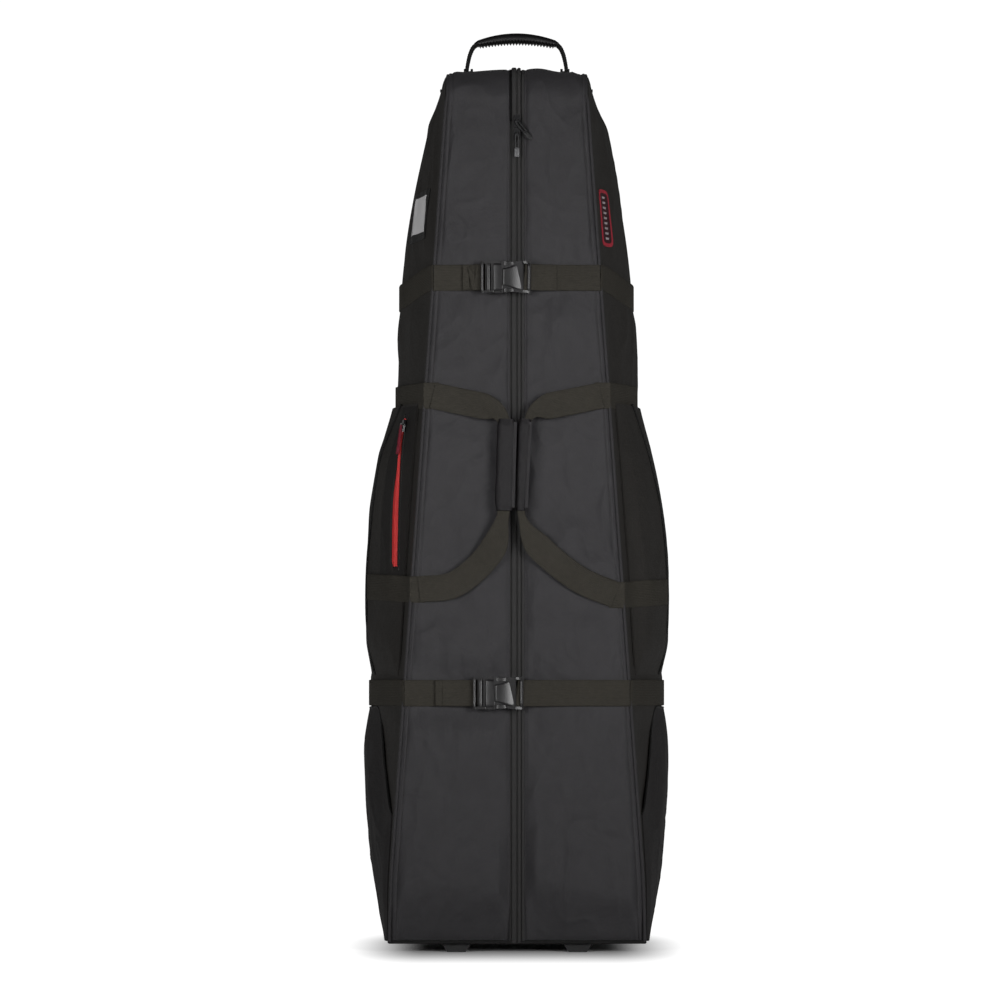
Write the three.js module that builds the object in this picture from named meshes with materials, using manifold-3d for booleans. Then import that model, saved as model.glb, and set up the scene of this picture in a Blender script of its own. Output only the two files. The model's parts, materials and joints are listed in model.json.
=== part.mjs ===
// Soft golf travel case: a tall padded fabric case that opens along a full-length front zip, with two
// compression straps, two carry loops, a moulded top handle, side pockets and a wheeled base.
// Millimetres, +Z up, +X to the right of someone facing the front, front face towards -Y.
// The origin is on the floor, under the middle of the case.
import * as THREE from "three";
import { mergeVertices } from "three/addons/utils/BufferGeometryUtils.js";
import Module from "manifold-3d";

const wasm = await Module();
wasm.setup();

// ---------------------------------------------------------------- driving dimensions
const BASE_Z = 12; // underside of the base above the floor
const CREST_Z = 1268; // top of the case body
const FRONT_BASE_Y = -148; // front face at the base
const FRONT_CREST_Y = -84; // front face at the crest
const BACK_Y = 132; // back face
const SEAM_BASE_X = 187; // half width of the front at the base
const SEAM_CREST_X = 100; // half width of the front at the crest
const BACK_WIDTHS = [
  // height, half width of the back
  [BASE_Z, 190],
  [300, 206],
  [600, 205],
  [808, 181],
  [1047, 160],
  [CREST_Z, 116],
];
const SHELL = 5; // padded fabric
const GAP = 0.4; // between neighbouring pieces
const SIDE_GAP = 1.3; // between a side and what lies on it
const CROWN_R = 25; // rounding of the front over the top

const FLAP_BOTTOM_Z = 100; // the opening front panels run between these heights
const FLAP_TOP_Z = 1125;
const FLAP_GAP = 1.2;
const PIPING_R = 3;
const ZIP_HALF = 9; // half width of the closed zip
const ZIP_THICK = 3;

const WEBBING = 38; // strap width
const WEB_THICK = 2;
const UPPER_STRAP_Z = 971;
const LOWER_STRAP_Z = 371;
const CLEAR_OF_SLIDER = 13; // straps and grips stand this far off the front where a slider passes

const WHEEL_X = 87;
const WHEEL_R = 32;
const WHEEL_W = 24;
const WHEEL_Y = 118;
const AXLE_R = 4;
const HOUSING_HALF = 24;
const HOUSING_FRONT_Y = 66;
const HOUSING_TOP_Z = 78;

const HANDLE_Y = 20;
const HANDLE_X = 71; // pivots of the top handle
const HANDLE_TOP_Z = 1343;
const HANDLE_PIVOT_Z = 1283;

// ---------------------------------------------------------------- materials
const material = (color, roughness, metalness = 0, opacity = 1) =>
  new THREE.MeshStandardMaterial({
    color,
    roughness,
    metalness,
    opacity,
    transparent: opacity < 1,
  });
const frontFabric = material(0x3b3a3c, 0.7);
const sideFabric = material(0x2a2828, 0.8);
const webbing = material(0x35332f, 0.85);
const binding = material(0x1c1b1b, 0.75);
const zipFabric = material(0x2c2b2c, 0.8);
const redZip = material(0xc02a2a, 0.6);
const labelFabric = material(0x241618, 0.7);
const buckle = material(0x2b2a2b, 0.4);
const moulded = material(0x1b1b1c, 0.55);
const rubber = material(0x232425, 0.6);
const tyre = material(0x1a1a1a, 0.7);
const hubPlastic = material(0x3c3d40, 0.5);
const steel = material(0xa9abae, 0.3, 1);
const zipMetal = material(0x2a2a2c, 0.35, 0.8);
const clearPlastic = material(0xb9b9bb, 0.2, 0, 0.5);
const board = material(0x4a4b4e, 0.6);

// ---------------------------------------------------------------- shapes of the case
const { lerp, degToRad, smoothstep } = THREE.MathUtils;
const share = (z) => (z - BASE_Z) / (CREST_Z - BASE_Z);
const frontY = (z) => lerp(FRONT_BASE_Y, FRONT_CREST_Y, share(z));
const FRONT_SLOPE = (FRONT_CREST_Y - FRONT_BASE_Y) / (CREST_Z - BASE_Z);
const LEAN = Math.atan(FRONT_SLOPE);
const seamX = (z) => lerp(SEAM_BASE_X, SEAM_CREST_X, share(z));

/** A smooth function through pairs of (position, value). */
function through(pairs) {
  const curve = new THREE.CubicInterpolant(
    pairs.map((p) => p[0]),
    pairs.map((p) => p[1]),
    1,
  );
  return (t) => curve.evaluate(t)[0];
}
const backX = through(BACK_WIDTHS);

/** Height above 0 that rises and falls once along t from 0 to 1. */
const swell = (t) => Math.sin(Math.PI * THREE.MathUtils.clamp(t, 0, 1));

/** A point of the side's middle layer: u runs from the front seam to the back, side is -1 on the left. */
function sidePoint(side, u, z) {
  const y = lerp(frontY(z) + PIPING_R + 1, BACK_Y - SHELL, u);
  const flare = Math.sin((Math.max(u, 0) * Math.PI) / 2) ** 1.15;
  const x = lerp(seamX(z), backX(z), flare);
  return new THREE.Vector3(side * x, y, z);
}

/** A point in front of the front face: positive lift stands off towards the viewer. */
const frontPoint = (x, z, lift) => new THREE.Vector3(x, frontY(z) - lift, z);

// ---------------------------------------------------------------- modelling helpers
/** Turns a closed geometry's faces outwards if they point in. */
function facingOut(geometry) {
  const index = geometry.index.array;
  const p = geometry.attributes.position;
  const [a, b, c] = [0, 0, 0].map(() => new THREE.Vector3());
  let volume = 0;
  for (let i = 0; i < index.length; i += 3) {
    a.fromBufferAttribute(p, index[i]);
    b.fromBufferAttribute(p, index[i + 1]);
    c.fromBufferAttribute(p, index[i + 2]);
    volume += a.dot(b.cross(c));
  }
  if (volume < 0)
    for (let i = 0; i < index.length; i += 3)
      [index[i], index[i + 1]] = [index[i + 1], index[i]];
  return geometry;
}

/** The geometry with only its positions, and its shared vertices merged. */
function merged(geometry, tolerance = 1e-3) {
  const bare = geometry.clone();
  bare.deleteAttribute("normal");
  bare.deleteAttribute("uv");
  return mergeVertices(bare, tolerance);
}

/** A box whose corners (u, v, w), each from 0 to 1, go where map says. */
function bent(nu, nv, map) {
  const box = merged(new THREE.BoxGeometry(1, 1, 1, nu, nv, 1), 1e-6);
  const p = box.attributes.position;
  for (let i = 0; i < p.count; i++) {
    const q = map(p.getX(i) + 0.5, p.getY(i) + 0.5, p.getZ(i) + 0.5);
    p.setXYZ(i, q.x, q.y, q.z);
  }
  return facingOut(box);
}

/** A sheet on the surface (u, v), from inner to outer millimetres off it, on outward's side. */
function sheet(surface, nu, nv, outward, inner, outer) {
  const step = 1e-3;
  const along = (u, v, du, dv) =>
    surface(u + du, v + dv).sub(surface(u - du, v - dv));
  const value = (f, u, v) => (typeof f === "function" ? f(u, v) : f);
  return bent(nu, nv, (u, v, w) => {
    const normal = along(u, v, step, 0).cross(along(u, v, 0, step)).normalize();
    const out = typeof outward === "function" ? outward(u, v) : outward;
    if (normal.dot(out) < 0) normal.negate();
    const lift = lerp(value(inner, u, v), value(outer, u, v), w);
    return surface(u, v).addScaledVector(normal, lift);
  });
}

/** A flat band of the given width along a 3-D path, its thickness along Y, leaning by slope. */
function band(points, width, thick, steps, slope = FRONT_SLOPE) {
  const path = new THREE.CatmullRomCurve3(points);
  const half = (t) => (typeof width === "function" ? width(t) : width) / 2;
  return bent(steps, 1, (u, v, w) => {
    const p = path.getPoint(u);
    const d = path.getTangent(u);
    const across = new THREE.Vector3(-d.z, 0, d.x).normalize();
    const side = lerp(-half(u), half(u), v);
    p.addScaledVector(across, side);
    p.y += across.z * side * slope + lerp(-thick / 2, thick / 2, w);
    return p;
  });
}

/** A closed body that can be cut and joined. */
function solid(geometry) {
  const g = merged(geometry);
  return new wasm.Manifold(
    new wasm.Mesh({
      numProp: 3,
      vertProperties: new Float32Array(g.attributes.position.array),
      triVerts: new Uint32Array(g.index.array),
    }),
  );
}
function geometryOf(made) {
  const mesh = made.getMesh();
  const g = new THREE.BufferGeometry();
  g.setAttribute(
    "position",
    new THREE.BufferAttribute(new Float32Array(mesh.vertProperties), 3),
  );
  g.setIndex(new THREE.BufferAttribute(new Uint32Array(mesh.triVerts), 1));
  return g;
}
const cut = (geometry, ...tools) =>
  geometryOf(tools.reduce((s, t) => s.subtract(solid(t)), solid(geometry)));
const join = (...pieces) =>
  geometryOf(pieces.map(solid).reduce((s, t) => s.add(t)));

/** A box between two corners. */
function block(low, high) {
  const size = high.map((h, i) => h - low[i]);
  const centre = high.map((h, i) => (h + low[i]) / 2);
  return new THREE.BoxGeometry(...size).translate(...centre);
}

/** A flat shape drawn in X and Z, from its front face at y to y + thick, with holes right through. */
function plate(points, holes, y, thick) {
  const slab = (outline, from, depth) => {
    const corners = outline.map(([x, z]) => new THREE.Vector2(x, z));
    return new THREE.ExtrudeGeometry(new THREE.Shape(corners), {
      depth,
      bevelEnabled: false,
    })
      .rotateX(Math.PI / 2)
      .translate(0, from + depth, 0);
  };
  const whole = slab(points, y, thick);
  if (!holes.length) return whole;
  return cut(whole, ...holes.map((hole) => slab(hole, y - 1, thick + 2)));
}
const rectangle = (x0, x1, z0, z1) => [
  [x0, z0],
  [x1, z0],
  [x1, z1],
  [x0, z1],
];
/** A cylinder along X. */
const barX = (radius, x0, x1, y, z, sides = 24) =>
  new THREE.CylinderGeometry(radius, radius, x1 - x0, sides)
    .rotateZ(Math.PI / 2)
    .translate((x0 + x1) / 2, y, z);

const object = new THREE.Group();
function add(name, geometry, finish, parent = object) {
  const mesh = new THREE.Mesh(geometry, finish);
  mesh.name = name;
  parent.add(mesh);
  return mesh;
}
const SIDES = [
  ["left", -1],
  ["right", 1],
];
const OUT_FRONT = new THREE.Vector3(0, -1, 0);
const OUT_BACK = new THREE.Vector3(0, 1, 0);
const OUT_TOP = new THREE.Vector3(0, 0, 1);
const outOf = (side) => new THREE.Vector3(side, 0, 0);

// ---------------------------------------------------------------- shell
function shell() {
  const half = SHELL / 2;
  const bottom = BASE_Z + GAP;

  const back = sheet(
    (u, v) => {
      const z = lerp(bottom, CREST_Z - half - GAP, v);
      return new THREE.Vector3(lerp(-1, 1, u) * (backX(z) - half), BACK_Y, z);
    },
    2,
    12,
    OUT_BACK,
    -half,
    half,
  );
  const wheelGaps = SIDES.map(([, side]) =>
    block(
      [side * WHEEL_X - HOUSING_HALF - GAP, BACK_Y - 20, 0],
      [side * WHEEL_X + HOUSING_HALF + GAP, BACK_Y + 20, HOUSING_TOP_Z + GAP],
    ),
  );
  add("back_panel", cut(back, ...wheelGaps), sideFabric);

  for (const [hand, side] of SIDES)
    add(
      "side_panel_" + hand,
      sheet(
        (u, v) => sidePoint(side, u * 0.985, lerp(bottom, CREST_Z - half - GAP, v)),
        8,
        12,
        outOf(side),
        -half,
        half,
      ),
      sideFabric,
    );

  add(
    "top_panel",
    sheet(
      (u, v) => {
        const y = lerp(FRONT_CREST_Y + CROWN_R + GAP, BACK_Y + half, v);
        const x = lerp(SEAM_CREST_X, backX(CREST_Z), v) + half;
        return new THREE.Vector3(lerp(-x, x, u), y, CREST_Z);
      },
      1,
      1,
      OUT_TOP,
      -half,
      half,
    ),
    sideFabric,
  );

  // The front of the crown follows the front face, then rounds over into the top.
  const arcLength = (CROWN_R * Math.PI) / 2;
  const straight = CREST_Z - CROWN_R - FLAP_TOP_Z;
  const crownPoint = (x, s) => {
    if (s <= straight) return frontPoint(x, FLAP_TOP_Z + s, 0);
    const angle = ((s - straight) / arcLength) * (Math.PI / 2);
    return new THREE.Vector3(
      x,
      frontY(CREST_Z - CROWN_R) + CROWN_R * (1 - Math.cos(angle)),
      CREST_Z - CROWN_R + CROWN_R * Math.sin(angle),
    );
  };
  const crownEnd = straight + arcLength - 1.5;
  const crownHalf = (s) =>
    seamX(FLAP_TOP_Z + Math.min(s, straight)) - PIPING_R - 1;
  // Rows sit close together only where the crown bends.
  const crownRow = (v) =>
    v < 0.2 ? lerp(FLAP_GAP, straight, v / 0.2) : lerp(straight, crownEnd, (v - 0.2) / 0.8);
  const crown = sheet(
    (u, v) => crownPoint(lerp(-1, 1, u) * crownHalf(crownRow(v)), crownRow(v)),
    1,
    5,
    OUT_FRONT.clone().add(OUT_TOP),
    -half,
    half,
  );
  add("front_crown", crown, frontFabric);
  add(
    "zip_crown",
    sheet(
      (u, v) => crownPoint(lerp(-ZIP_HALF, ZIP_HALF, u), lerp(FLAP_GAP, straight, v)),
      1,
      1,
      OUT_FRONT,
      half + GAP,
      half + GAP + 1.5,
    ),
    zipFabric,
  );

  add(
    "front_kick",
    sheet(
      (u, v) => {
        const z = lerp(bottom, FLAP_BOTTOM_Z - FLAP_GAP, v);
        return frontPoint(lerp(-1, 1, u) * (seamX(z) - PIPING_R - 1), z, 0);
      },
      1,
      1,
      OUT_FRONT,
      -half,
      half,
    ),
    frontFabric,
  );
  add(
    "zip_kick",
    sheet(
      (u, v) =>
        frontPoint(
          lerp(-ZIP_HALF, ZIP_HALF, u),
          lerp(bottom, FLAP_BOTTOM_Z - FLAP_GAP, v),
          0,
        ),
      1,
      1,
      OUT_FRONT,
      half + GAP,
      half + GAP + 1.5,
    ),
    zipFabric,
  );

  // The piping cord of each front seam is also the line that the front panel folds about.
  for (const [hand, side] of SIDES) {
    const [z0, z1] = [BASE_Z + 3, CREST_Z - CROWN_R];
    const length = Math.hypot(
      seamX(z1) - seamX(z0),
      frontY(z1) - frontY(z0),
      z1 - z0,
    );
    const cord = new THREE.CylinderGeometry(PIPING_R, PIPING_R, length, 10);
    const from = new THREE.Vector3(side * seamX(z0), frontY(z0), z0);
    const to = new THREE.Vector3(side * seamX(z1), frontY(z1), z1);
    const mesh = add("front_piping_" + hand, cord, binding);
    mesh.position.copy(from).lerp(to, 0.5);
    mesh.quaternion.setFromUnitVectors(
      new THREE.Vector3(0, 1, 0),
      to.sub(from).normalize(),
    );
  }
}

// ---------------------------------------------------------------- pockets on the sides
const SIDE_POCKET = { low: 396, high: 790, front: 0.1, back: 0.93, swell: 17 };
const pocketShape = through([
  // height share, share of the full swell
  [0, 0.75],
  [0.25, 0.98],
  [0.45, 1.0],
  [0.72, 0.72],
  [1, 0.08],
]);
const sidePocketLift = (u, v) =>
  2.5 + SIDE_POCKET.swell * pocketShape(v) * (0.35 + 0.65 * swell(u) ** 0.5);
const sidePocketPoint = (side, u, v) =>
  sidePoint(
    side,
    lerp(SIDE_POCKET.front, SIDE_POCKET.back, u),
    lerp(SIDE_POCKET.low, SIDE_POCKET.high, v),
  );

const SLASH = { low: 24, front: 0.07, back: 0.95, swell: 19, sheet: 3 };
/** Height of the slash pocket's open edge: low at the front, rising steeply towards the back. */
const slashTop = through([
  [0, 196],
  [0.14, 226],
  [0.27, 264],
  [0.38, 304],
  [0.5, 338],
  [1, 345],
]);
const slashLift = (u, v) =>
  SLASH.sheet +
  SIDE_GAP +
  (v > 0 ? SLASH.swell * swell(u) ** 0.6 * Math.sin(Math.PI * (0.08 + 0.6 * v)) : 0);

function pockets() {
  for (const [hand, side] of SIDES) {
    add(
      "side_pocket_" + hand,
      sheet(
        (u, v) => sidePocketPoint(side, u, v),
        7,
        9,
        outOf(side),
        SHELL / 2 + SIDE_GAP,
        (u, v) => SHELL / 2 + SIDE_GAP + sidePocketLift(u, v),
      ),
      sideFabric,
    );
    // An open-topped pocket: a sheet that meets the side along its two edges and its foot.
    const slash = (u, v) =>
      sidePoint(
        side,
        lerp(SLASH.front, SLASH.back, u),
        lerp(SLASH.low, slashTop(u), v),
      );
    add(
      "lower_pocket_" + hand,
      sheet(
        slash,
        8,
        7,
        outOf(side),
        (u, v) => SHELL / 2 + slashLift(u, v) - SLASH.sheet,
        (u, v) => SHELL / 2 + slashLift(u, v),
      ),
      sideFabric,
    );
  }
}

// Things that lie on the pocket or the side: u and height of their middle, and their size along u and Z.
const POCKET_ZIP = { low: 553, high: 776, width: 10 };
/** The zip runs straighter than the pocket's edge, so it nears the front seam low down. */
const pocketZipU = (z) => lerp(0.07, 0.15, (z - POCKET_ZIP.low) / (POCKET_ZIP.high - POCKET_ZIP.low));
const pocketV = (z) => (z - SIDE_POCKET.low) / (SIDE_POCKET.high - SIDE_POCKET.low);
/** A point of the left pocket's outer face, a little off it. */
function pocketFace(u, z, lift) {
  const v = pocketV(z);
  const p = sidePocketPoint(-1, u, v);
  const e = 1e-3;
  const du = sidePocketPoint(-1, u + e, v).sub(sidePocketPoint(-1, u - e, v));
  const dv = sidePocketPoint(-1, u, v + e).sub(sidePocketPoint(-1, u, v - e));
  const normal = du.cross(dv).normalize();
  if (normal.x > 0) normal.negate();
  return p.addScaledVector(normal, SHELL / 2 + SIDE_GAP + sidePocketLift(u, v) + lift);
}
function pocketZip() {
  const depth = BACK_Y - FRONT_BASE_Y;
  const halfU = POCKET_ZIP.width / 2 / (depth * (SIDE_POCKET.back - SIDE_POCKET.front));
  add(
    "pocket_zip",
    bent(1, 10, (u, v, w) => {
      const z = lerp(POCKET_ZIP.low, POCKET_ZIP.high, v);
      return pocketFace(pocketZipU(z) + lerp(-halfU, halfU, u), z, lerp(0.9, 2.4, w));
    }),
    redZip,
  );
}

// ---------------------------------------------------------------- opening front
function frontPanels() {
  const half = SHELL / 2;
  for (const [hand, side] of SIDES) {
    add(
      "front_panel_" + hand,
      sheet(
        (u, v) => {
          const z = lerp(FLAP_BOTTOM_Z, FLAP_TOP_Z, v);
          const x = lerp(ZIP_HALF + GAP, seamX(z) - PIPING_R - 1, u);
          return frontPoint(side * x, z, 0);
        },
        1,
        1,
        OUT_FRONT,
        -half,
        half,
      ),
      frontFabric,
    );
    add(
      "zip_tape_" + hand,
      sheet(
        (u, v) =>
          frontPoint(
            side * lerp(GAP, ZIP_HALF, u),
            lerp(FLAP_BOTTOM_Z, FLAP_TOP_Z, v),
            0,
          ),
        1,
        1,
        OUT_FRONT,
        -ZIP_THICK / 2,
        ZIP_THICK / 2 + 1.4,
      ),
      zipFabric,
    );
  }
}

// ---------------------------------------------------------------- compression straps
const BUCKLE = {
  half: 23.5, // half height across the strap
  inner: 19.5, // half height of the slots
  ladder: 29, // plug, from its outer end to its mouth
  arms: 14.5, // how far the arms reach past the mouth
  body: 31, // socket, from its mouth to its strap slot
  lugs: 12, // strap slot and its bar
  back: CLEAR_OF_SLIDER + 1.5, // the buckle's back face stands this far off the front
  thick: 11,
};
const STRAPS = [
  ["upper", UPPER_STRAP_Z, -23],
  ["lower", LOWER_STRAP_Z, -34],
];

/** The plug: a ladder for the strap, two sprung arms with shoulders, and a guide between them. */
function plugShape(level, z, mouth) {
  const { half, inner, ladder, arms } = BUCKLE;
  const upper = [
    [-ladder, half],
    [0, half],
    [0, 17],
    [4, 17],
    [5, 21.5],
    [9, 21.5],
    [arms, 15],
    [arms, 12],
    [1, 11],
    [1, 3],
    [11, 2.5],
  ];
  const outline = [...upper, ...upper.toReversed().map(([x, h]) => [x, -h])];
  const slots = [
    rectangle(-25.5, -22.5, -inner, inner),
    rectangle(-18.5, -14.5, -inner, inner),
  ];
  const g = plate(outline, slots, 0, 5);
  add(
    level + "_buckle_plug",
    g.translate(mouth, frontY(z) - BUCKLE.back - 8, z),
    buckle,
  );
}

/** The socket: a front plate with waisted sides, a rear block, and a bar for the sewn strap. */
function socketShape(level, z, mouth) {
  const { half, inner, arms, body, lugs, back, thick } = BUCKLE;
  const block0 = arms + 1.5;
  const upper = [
    [GAP, half],
    [4, half - 1],
    [7, half - 5],
    [14, half - 5],
    [20, half - 1.5],
    [body, half],
  ];
  const face = plate(
    [...upper, ...upper.toReversed().map(([x, h]) => [x, -h])],
    [],
    0,
    2.2,
  );
  const rear = plate(rectangle(block0, body, -half + 3, half - 3), [], 1, thick - 1);
  const bar = plate(
    rectangle(body - 1, body + lugs, -half, half),
    [rectangle(body + 1.5, body + lugs - 4, -inner, inner)],
    2,
    5,
  );
  add(
    level + "_buckle_socket",
    join(face, rear, bar).translate(mouth, frontY(z) - back - thick, z),
    buckle,
  );
}

const AROUND_STEPS = 26;
/** A point of the line round the sides and back at height z; u runs from left front to right. */
function aroundPoint(u, z) {
  const half = [
    ...[0.03, 0.14, 0.26, 0.38, 0.5, 0.62, 0.75, 0.88].map((t) => sidePoint(1, t, z)),
    new THREE.Vector3(backX(z), BACK_Y - 11, z),
    new THREE.Vector3(backX(z) + 0.8, BACK_Y - 2, z),
    new THREE.Vector3(backX(z) - 1, BACK_Y + 0.8, z),
    new THREE.Vector3(backX(z) - 8, BACK_Y, z),
    new THREE.Vector3(backX(z) / 2, BACK_Y, z),
  ];
  const middle = new THREE.Vector3(0, BACK_Y, z);
  const mirrored = half.map((p) => new THREE.Vector3(-p.x, p.y, p.z));
  const line = [...mirrored, middle, ...half.toReversed()];
  return new THREE.CatmullRomCurve3(line).getPoint(THREE.MathUtils.clamp(u, 0, 1));
}

function straps() {
  const off = SHELL / 2 + GAP;
  for (const [level, z, mouth] of STRAPS) {
    plugShape(level, z, mouth);
    socketShape(level, z, mouth);
    const edge = seamX(z) - PIPING_R - 4;
    const ladderEnd = mouth - BUCKLE.ladder + 3;
    const barEnd = mouth + BUCKLE.body + 4;
    const under = BUCKLE.back - WEB_THICK / 2 - GAP;
    const run = (from, to) => {
      const rise = to + Math.sign(from - to) * 42;
      return [
        frontPoint(from, z, off + WEB_THICK / 2 + 0.3),
        frontPoint(lerp(from, rise, 0.6), z, off + WEB_THICK / 2 + 1.5),
        frontPoint(rise + Math.sign(to - from) * 12, z, under - 3),
        frontPoint(to + Math.sign(from - to) * 18, z, under),
        frontPoint(to, z, under),
      ];
    };
    add(level + "_strap_left", band(run(-edge, ladderEnd), WEBBING, WEB_THICK, 8), webbing);
    add(level + "_strap_right", band(run(edge, barEnd), WEBBING, WEB_THICK, 8), webbing);

    // The fixed part of the strap runs from one front seam round the back to the other.
    const wrap = sheet(
      (u, v) => aroundPoint(u, z + lerp(-0.5, 0.5, v) * WEBBING),
      AROUND_STEPS,
      1,
      (u) => new THREE.Vector3(lerp(-1, 1, u), u > 0.3 && u < 0.7 ? 1 : 0, 0),
      SHELL / 2 + SIDE_GAP,
      SHELL / 2 + SIDE_GAP + WEB_THICK,
    );
    add(level + "_strap_wrap", wrap, webbing);
  }
}

// ---------------------------------------------------------------- carry loops
// The left loop hangs slack and runs in low to its sewn end; the right one is drawn straighter.
const LOOP = {
  high: 800,
  left: { low: 520, hang: 572, knee: 8 },
  right: { low: 512, hang: 582, knee: 24 },
  gripHigh: 763,
  gripLow: 632,
  gripX: 15.5,
};
function carryLoops() {
  for (const [hand, side] of SIDES) {
    const gripHalf = side < 0 ? 13.5 : 10;
    const gripX = side * (side < 0 ? LOOP.gripX : 11.5);
    const lift = CLEAR_OF_SLIDER + 10;
    const start = side * (seamX(LOOP.high) - 12);
    const { low, hang, knee } = LOOP[hand];
    const end = side * (seamX(low) - 16);
    const rest = SHELL / 2 + GAP + WEB_THICK;
    const path = [
      frontPoint(start, LOOP.high, rest),
      frontPoint(lerp(start, gripX, 0.35), LOOP.high - 8, rest + 5),
      frontPoint(lerp(start, gripX, 0.72), LOOP.high - 17, lift - 5),
      frontPoint(gripX + side * 9, LOOP.gripHigh + 9, lift),
      frontPoint(gripX, LOOP.gripHigh - 18, lift),
      frontPoint(gripX, (LOOP.gripHigh + LOOP.gripLow) / 2, lift),
      frontPoint(gripX, LOOP.gripLow + 20, lift),
      frontPoint(gripX + side * 3, LOOP.gripLow - 12, lift),
      frontPoint(gripX + side * 24, hang, lift - 4),
      frontPoint(lerp(end, gripX, 0.42), low + knee, rest + 7),
      frontPoint(end, low, rest),
    ];
    const folded = 2 * (gripHalf - 4.5);
    const width = (t) =>
      lerp(WEBBING, folded, smoothstep(t, 0.12, 0.3) * (1 - smoothstep(t, 0.7, 0.88)));
    add("carry_loop_" + hand, band(path, width, WEB_THICK, 26), webbing);

    const ring = new THREE.Shape().absellipse(0, 0, gripHalf, 9, 0, 2 * Math.PI, false, 0);
    ring.holes.push(
      new THREE.Path(
        rectangle(-gripHalf + 3.6, gripHalf - 3.6, -1.6, 1.6).map(([x, y]) => new THREE.Vector2(x, y)),
      ),
    );
    const grip = new THREE.ExtrudeGeometry(ring, {
      depth: LOOP.gripHigh - LOOP.gripLow - 40,
      bevelEnabled: false,
      curveSegments: 8,
    });
    const mesh = add("carry_grip_" + hand, grip, sideFabric);
    mesh.position.copy(frontPoint(gripX, LOOP.gripLow + 20, lift));
    mesh.rotation.x = -LEAN;
  }
}

// ---------------------------------------------------------------- zip sliders and pulls
const PULL_BAR = [0, -4.25, -0.6]; // where the bar of a pull sits on its slider
/** A slider seen from the front, with a bail that its pull hangs from. */
function sliderShape() {
  const body = [
    [-3.4, 9],
    [3.4, 9],
    [5.4, 1],
    [4.2, -9],
    [-4.2, -9],
    [-5.4, 1],
  ];
  const bail = rectangle(-0.8, 0.8, -4, 2.8);
  return join(
    plate(body, [], -3, 3),
    plate(rectangle(-0.8, 0.8, 1.3, 2.8), [], -6, 3.2),
    plate(rectangle(-0.8, 0.8, -4, -2.5), [], -6, 3.2),
    plate(bail, [], -6.7, 1.2),
  );
}
/** A moulded pull whose ring goes round the bail; the bar of the ring is at the local origin. */
function pullShape(length) {
  const half = 4.3;
  const outline = [
    [-half, 0.75],
    [half, 0.75],
    [half, -6],
    [half - 1, -9],
    [half - 0.6, -length],
    [-half + 0.6, -length],
    [-half + 1, -9],
    [-half, -6],
  ];
  return plate(outline, [rectangle(-3, 3, -5.2, -0.75)], -0.8, 1.6);
}
const MAIN_SLIDERS = [
  // the upper one's pull is pushed aside by the slider below it
  ["upper", 1199, 38],
  ["lower", 1180, 0],
];
function sliders() {
  const face = SHELL / 2 + GAP + 1.5 + GAP;
  for (const [level, z, turn] of MAIN_SLIDERS) {
    const carrier = new THREE.Group();
    carrier.position.copy(frontPoint(0, z, face));
    carrier.rotation.x = -LEAN;
    object.add(carrier);
    add("main_slider_" + level, sliderShape(), zipMetal, carrier);
    const pull = add("main_pull_" + level, pullShape(33), moulded, carrier);
    pull.position.set(...PULL_BAR);
    pull.rotation.y = -degToRad(turn);
  }
  const carrier = new THREE.Group();
  const z = POCKET_ZIP.high - 19;
  const at = pocketFace(pocketZipU(z), z, 2.4 + GAP);
  const below = pocketFace(pocketZipU(z - 30), z - 30, 2.4 + GAP);
  const up = at.clone().sub(below).normalize();
  const outward = pocketFace(pocketZipU(z), z, 5).sub(at);
  outward.addScaledVector(up, -outward.dot(up)).normalize();
  const frontwards = new THREE.Vector3().crossVectors(outward, up);
  const basis = new THREE.Matrix4().makeBasis(frontwards.negate(), outward.clone().negate(), up);
  carrier.quaternion.setFromRotationMatrix(basis);
  carrier.position.copy(at).addScaledVector(outward, 1.2);
  object.add(carrier);
  add("pocket_slider", sliderShape(), zipMetal, carrier);
  const pull = add("pocket_pull", pullShape(42), redZip, carrier);
  pull.position.set(...PULL_BAR);
}

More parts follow.
